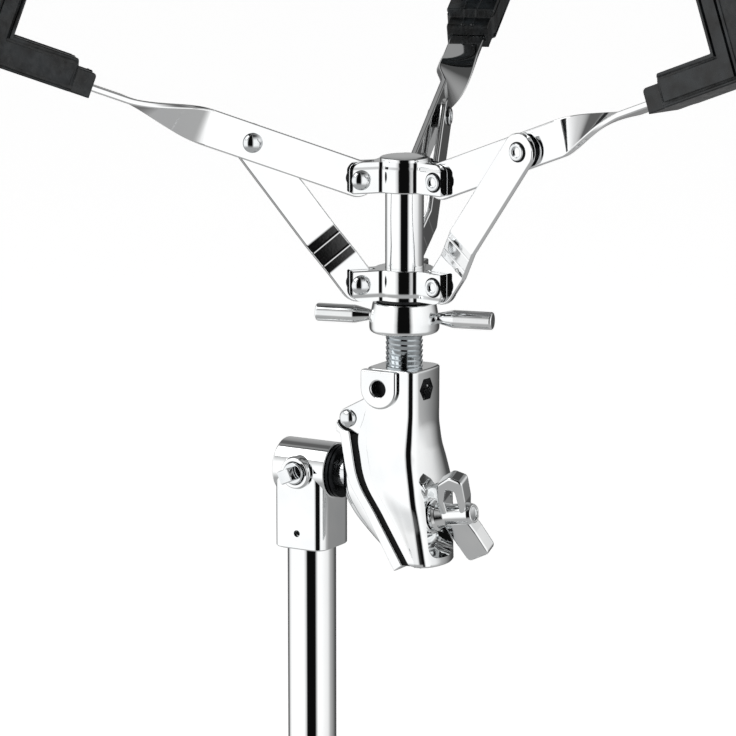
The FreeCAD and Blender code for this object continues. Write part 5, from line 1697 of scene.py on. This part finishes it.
@dataclass
class Studio:
    """White studio with a dark gap around the camera, floor, lamp and camera.

    Attributes:
        azimuth: Camera's turn about Z, in degrees.
        elevation: Camera's rise above the horizon, in degrees.
        distance: Camera's distance from its target, in millimetres.
        focal_px: Focal length on a frame of the photograph's width.
        aside: Target's shift to the right of the knuckle, in millimetres.
        above: Target's height above the tilt axis, in millimetres.
        frame_px: Width of the photograph.
        low_stops: Levels of the walls near the floor, by degrees to the right of the camera.
        high_stops: Levels of the walls near the roof.
        blend: Rises between which the low levels turn into the high ones, as sines.
        roof: Rises between which the walls turn into the roof.
        roof_level: Level of the roof.
        ground: Falls between which the walls turn into the ground.
        ground_level: Level of the ground.
        floor_half: Half width of the floor, in metres.
        floor_drop: Depth of the floor below the feet, in metres.
        floor_glow: Light that the floor adds for the camera.
        lamp_size: Width and depth of the lamp, in metres.
        lamp_watts: Power of the lamp.
        lamp_place: Place of the lamp, in metres.
        lamp_aim: Place that the lamp points at, in metres.
    """

    azimuth: float = 30.49
    elevation: float = 10.98
    distance: float = 1861.2
    focal_px: float = 4105.9
    aside: float = 25.64
    above: float = 45.92
    frame_px: float = 736.0
    low_stops: Sequence[Point] = (
        (-180, 0.25), (-166, 0.10), (-144, 0.10), (-124, 0.90), (-110, 1.08), (-38, 1.08), (-27, 0.62),
        (-22, 0.004), (16, 0.004), (24, 0.72), (30, 1.08), (50, 1.05), (82, 0.86), (98, 0.44), (130, 0.16),
        (142, 0.07), (164, 0.07), (176, 0.30), (180, 0.30))
    high_stops: Sequence[Point] = (
        (-180, 0.4), (-170, 0.36), (-162, 0.12), (-144, 0.12), (-124, 0.95), (-110, 1.08), (-38, 1.08),
        (-27, 0.62), (-22, 0.004), (16, 0.004), (24, 0.72), (30, 1.08), (60, 1.05), (85, 0.92), (110, 0.74),
        (132, 0.4), (144, 0.07), (164, 0.07), (172, 0.36), (180, 0.4))
    blend: Point = (-0.13, 0.05)
    roof: Point = (0.28, 0.78)
    roof_level: float = 0.05
    ground: Point = (-0.36, -0.66)
    ground_level: float = 0.4
    floor_half: float = 9.0
    floor_drop: float = 0.0004
    floor_glow: float = 0.73
    lamp_size: Point = (1.6, 1.1)
    lamp_watts: float = 9.0
    lamp_place: tuple[float, float, float] = (-0.9, -0.9, 2.0)
    lamp_aim: tuple[float, float, float] = (0.0, 0.0, 0.4)

    def build(self) -> None:
        """Builds the world, floor, lamp and camera."""
        bpy.context.scene.view_settings.view_transform = "Standard"
        self.build_world()
        self.build_floor()
        self.build_lamp()
        self.build_camera()

    def build_world(self) -> None:
        """Builds a white surround whose brightness follows the turn from the camera."""
        world = bpy.data.worlds.new("white studio")
        bpy.context.scene.world = world
        world.use_nodes = True
        tree = world.node_tree
        tree.nodes.clear()
        way = add(tree, "ShaderNodeTexCoord").outputs["Generated"]
        turned_way = add(tree, "ShaderNodeVectorRotate",
                         {"Vector": way, "Angle": math.radians(90.0 - self.azimuth)}, rotation_type="Z_AXIS")
        parts = add(tree, "ShaderNodeSeparateXYZ", {"Vector": turned_way.outputs[0]}).outputs
        angle = add(tree, "ShaderNodeMath", {0: parts["Y"], 1: parts["X"]}, operation="ARCTAN2")
        share = add(tree, "ShaderNodeMapRange",
                    {"Value": angle.outputs[0], "From Min": -math.pi, "From Max": math.pi}).outputs[0]
        near_floor = self.ramp(tree, share, self.low_stops)
        near_roof = self.ramp(tree, share, self.high_stops)
        rises = [add(tree, "ShaderNodeMapRange", {"Value": parts["Z"], "From Min": start, "From Max": end})
                 for start, end in (self.blend, self.roof, self.ground)]
        lift, high, low = (rise.outputs[0] for rise in rises)
        walls = add(tree, "ShaderNodeMix", {0: lift, COLOUR_A: near_floor, COLOUR_B: near_roof},
                    data_type="RGBA")
        # The roof stays off where the walls are dark, so that the gap around the camera runs on overhead.
        lit = add(tree, "ShaderNodeMath", {0: near_roof, 1: 1.0}, operation="MINIMUM")
        roof = add(tree, "ShaderNodeMath", {0: high, 1: lit.outputs[0]}, operation="MULTIPLY")
        over = add(tree, "ShaderNodeMix", {0: roof.outputs[0], COLOUR_A: walls.outputs[COLOUR_OUT],
                                           COLOUR_B: grey(self.roof_level)}, data_type="RGBA")
        under = add(tree, "ShaderNodeMix", {0: low, COLOUR_A: over.outputs[COLOUR_OUT],
                                            COLOUR_B: grey(self.ground_level)}, data_type="RGBA")
        surround = add(tree, "ShaderNodeBackground", {"Color": under.outputs[COLOUR_OUT], "Strength": 1.0})
        plain = add(tree, "ShaderNodeBackground", {"Color": grey(1.0), "Strength": 1.0})
        path = add(tree, "ShaderNodeLightPath")
        mixed = add(tree, "ShaderNodeMixShader", {0: path.outputs["Is Camera Ray"], 1: surround.outputs[0],
                                                  2: plain.outputs[0]})
        add(tree, "ShaderNodeOutputWorld", {"Surface": mixed.outputs[0]})

    @staticmethod
    def ramp(tree: bpy.types.NodeTree, share: bpy.types.NodeSocket,
             stops: Sequence[Point]) -> bpy.types.NodeSocket:
        """Adds the brightness of the walls by the turn from the camera.

        Args:
            tree: Tree of the world.
            share: Turn as a share of the whole round.
            stops: Degrees from the camera, rising, and the level there.

        Returns:
            The colour socket.
        """
        node = add(tree, "ShaderNodeValToRGB", {"Fac": share})
        band = node.color_ramp
        while len(band.elements) < len(stops):
            band.elements.new(0.5)
        for element, (degrees, level) in zip(band.elements, stops):
            element.position = (degrees + 180.0) / 360.0
            element.color = grey(level)
        return node.outputs["Color"]

    def build_floor(self) -> None:
        """Builds a wide white floor that keeps the shadow and stays out of the mirrors."""
        sheet = bmesh.new()
        bmesh.ops.create_grid(sheet, x_segments=8, y_segments=8, size=self.floor_half)
        data = bpy.data.meshes.new("studio_floor")
        sheet.transform(Matrix.Translation((0.0, 0.0, -self.floor_drop)))
        sheet.to_mesh(data)
        sheet.free()
        floor = bpy.data.objects.new("studio_floor", data)
        bpy.context.scene.collection.objects.link(floor)
        floor.visible_glossy = False
        made = bpy.data.materials.new("white painted studio floor")
        made.use_nodes = True
        tree = made.node_tree
        tree.nodes.clear()
        where = add(tree, "ShaderNodeTexCoord").outputs["Object"]
        grain = add(tree, "ShaderNodeTexNoise", {"Vector": where, "Scale": 3.0, "Detail": 2.0})
        tone = add(tree, "ShaderNodeMapRange",
                   {"Value": grain.outputs["Fac"], "To Min": 0.93, "To Max": 0.95})
        paint = add(tree, "ShaderNodeBsdfDiffuse", {"Color": tone.outputs[0]})
        glow = add(tree, "ShaderNodeEmission", {"Color": grey(1.0), "Strength": self.floor_glow})
        path = add(tree, "ShaderNodeLightPath").outputs
        seen = add(tree, "ShaderNodeMath", {0: path["Is Camera Ray"], 1: path["Is Transmission Ray"]},
                   operation="MAXIMUM")
        both = add(tree, "ShaderNodeAddShader", {0: paint.outputs[0], 1: glow.outputs[0]})
        mixed = add(tree, "ShaderNodeMixShader",
                    {0: seen.outputs[0], 1: paint.outputs[0], 2: both.outputs[0]})
        add(tree, "ShaderNodeOutputMaterial", {"Surface": mixed.outputs[0]})
        data.materials.append(made)

    def build_lamp(self) -> None:
        """Hangs one large soft lamp above and to the left of the camera."""
        lamp = bpy.data.lights.new("overhead softbox", "AREA")
        lamp.shape = "RECTANGLE"
        lamp.size, lamp.size_y = self.lamp_size
        lamp.energy = self.lamp_watts
        holder = bpy.data.objects.new("overhead softbox", lamp)
        bpy.context.scene.collection.objects.link(holder)
        holder.location = self.lamp_place
        aim = Vector(self.lamp_aim) - holder.location
        holder.rotation_euler = aim.to_track_quat("-Z", "Y").to_euler()

    def build_camera(self) -> None:
        """Sets the camera at the photograph's angle and framing."""
        turn, rise = math.radians(self.azimuth), math.radians(self.elevation)
        right = Vector((math.cos(turn), math.sin(turn), 0.0))
        back = Vector((math.sin(turn) * math.cos(rise), -math.cos(turn) * math.cos(rise), math.sin(rise)))
        target = Vector((0.0, 0.0, TILT + self.above)) + right * self.aside
        lens = bpy.data.cameras.new("studio camera")
        lens.sensor_width = 36.0
        lens.lens = self.focal_px / self.frame_px * lens.sensor_width
        lens.clip_start, lens.clip_end = 0.05, 60.0
        camera = bpy.data.objects.new("studio camera", lens)
        bpy.context.scene.collection.objects.link(camera)
        camera.location = (target + back * self.distance) * MM
        camera.rotation_euler = (-back).to_track_quat("-Z", "Y").to_euler()
        bpy.context.scene.camera = camera


def main() -> None:
    """Builds the studio and the stand, piece by piece."""
    logging.basicConfig(level=logging.INFO, format="%(name)s: %(message)s")
    Studio().build()
    Tubes().build()
    Stand().build()
    Knuckle().build()
    Tilter().build()
    WingNut().build()
    Basket().build()


if __name__ == "__main__":
    main()
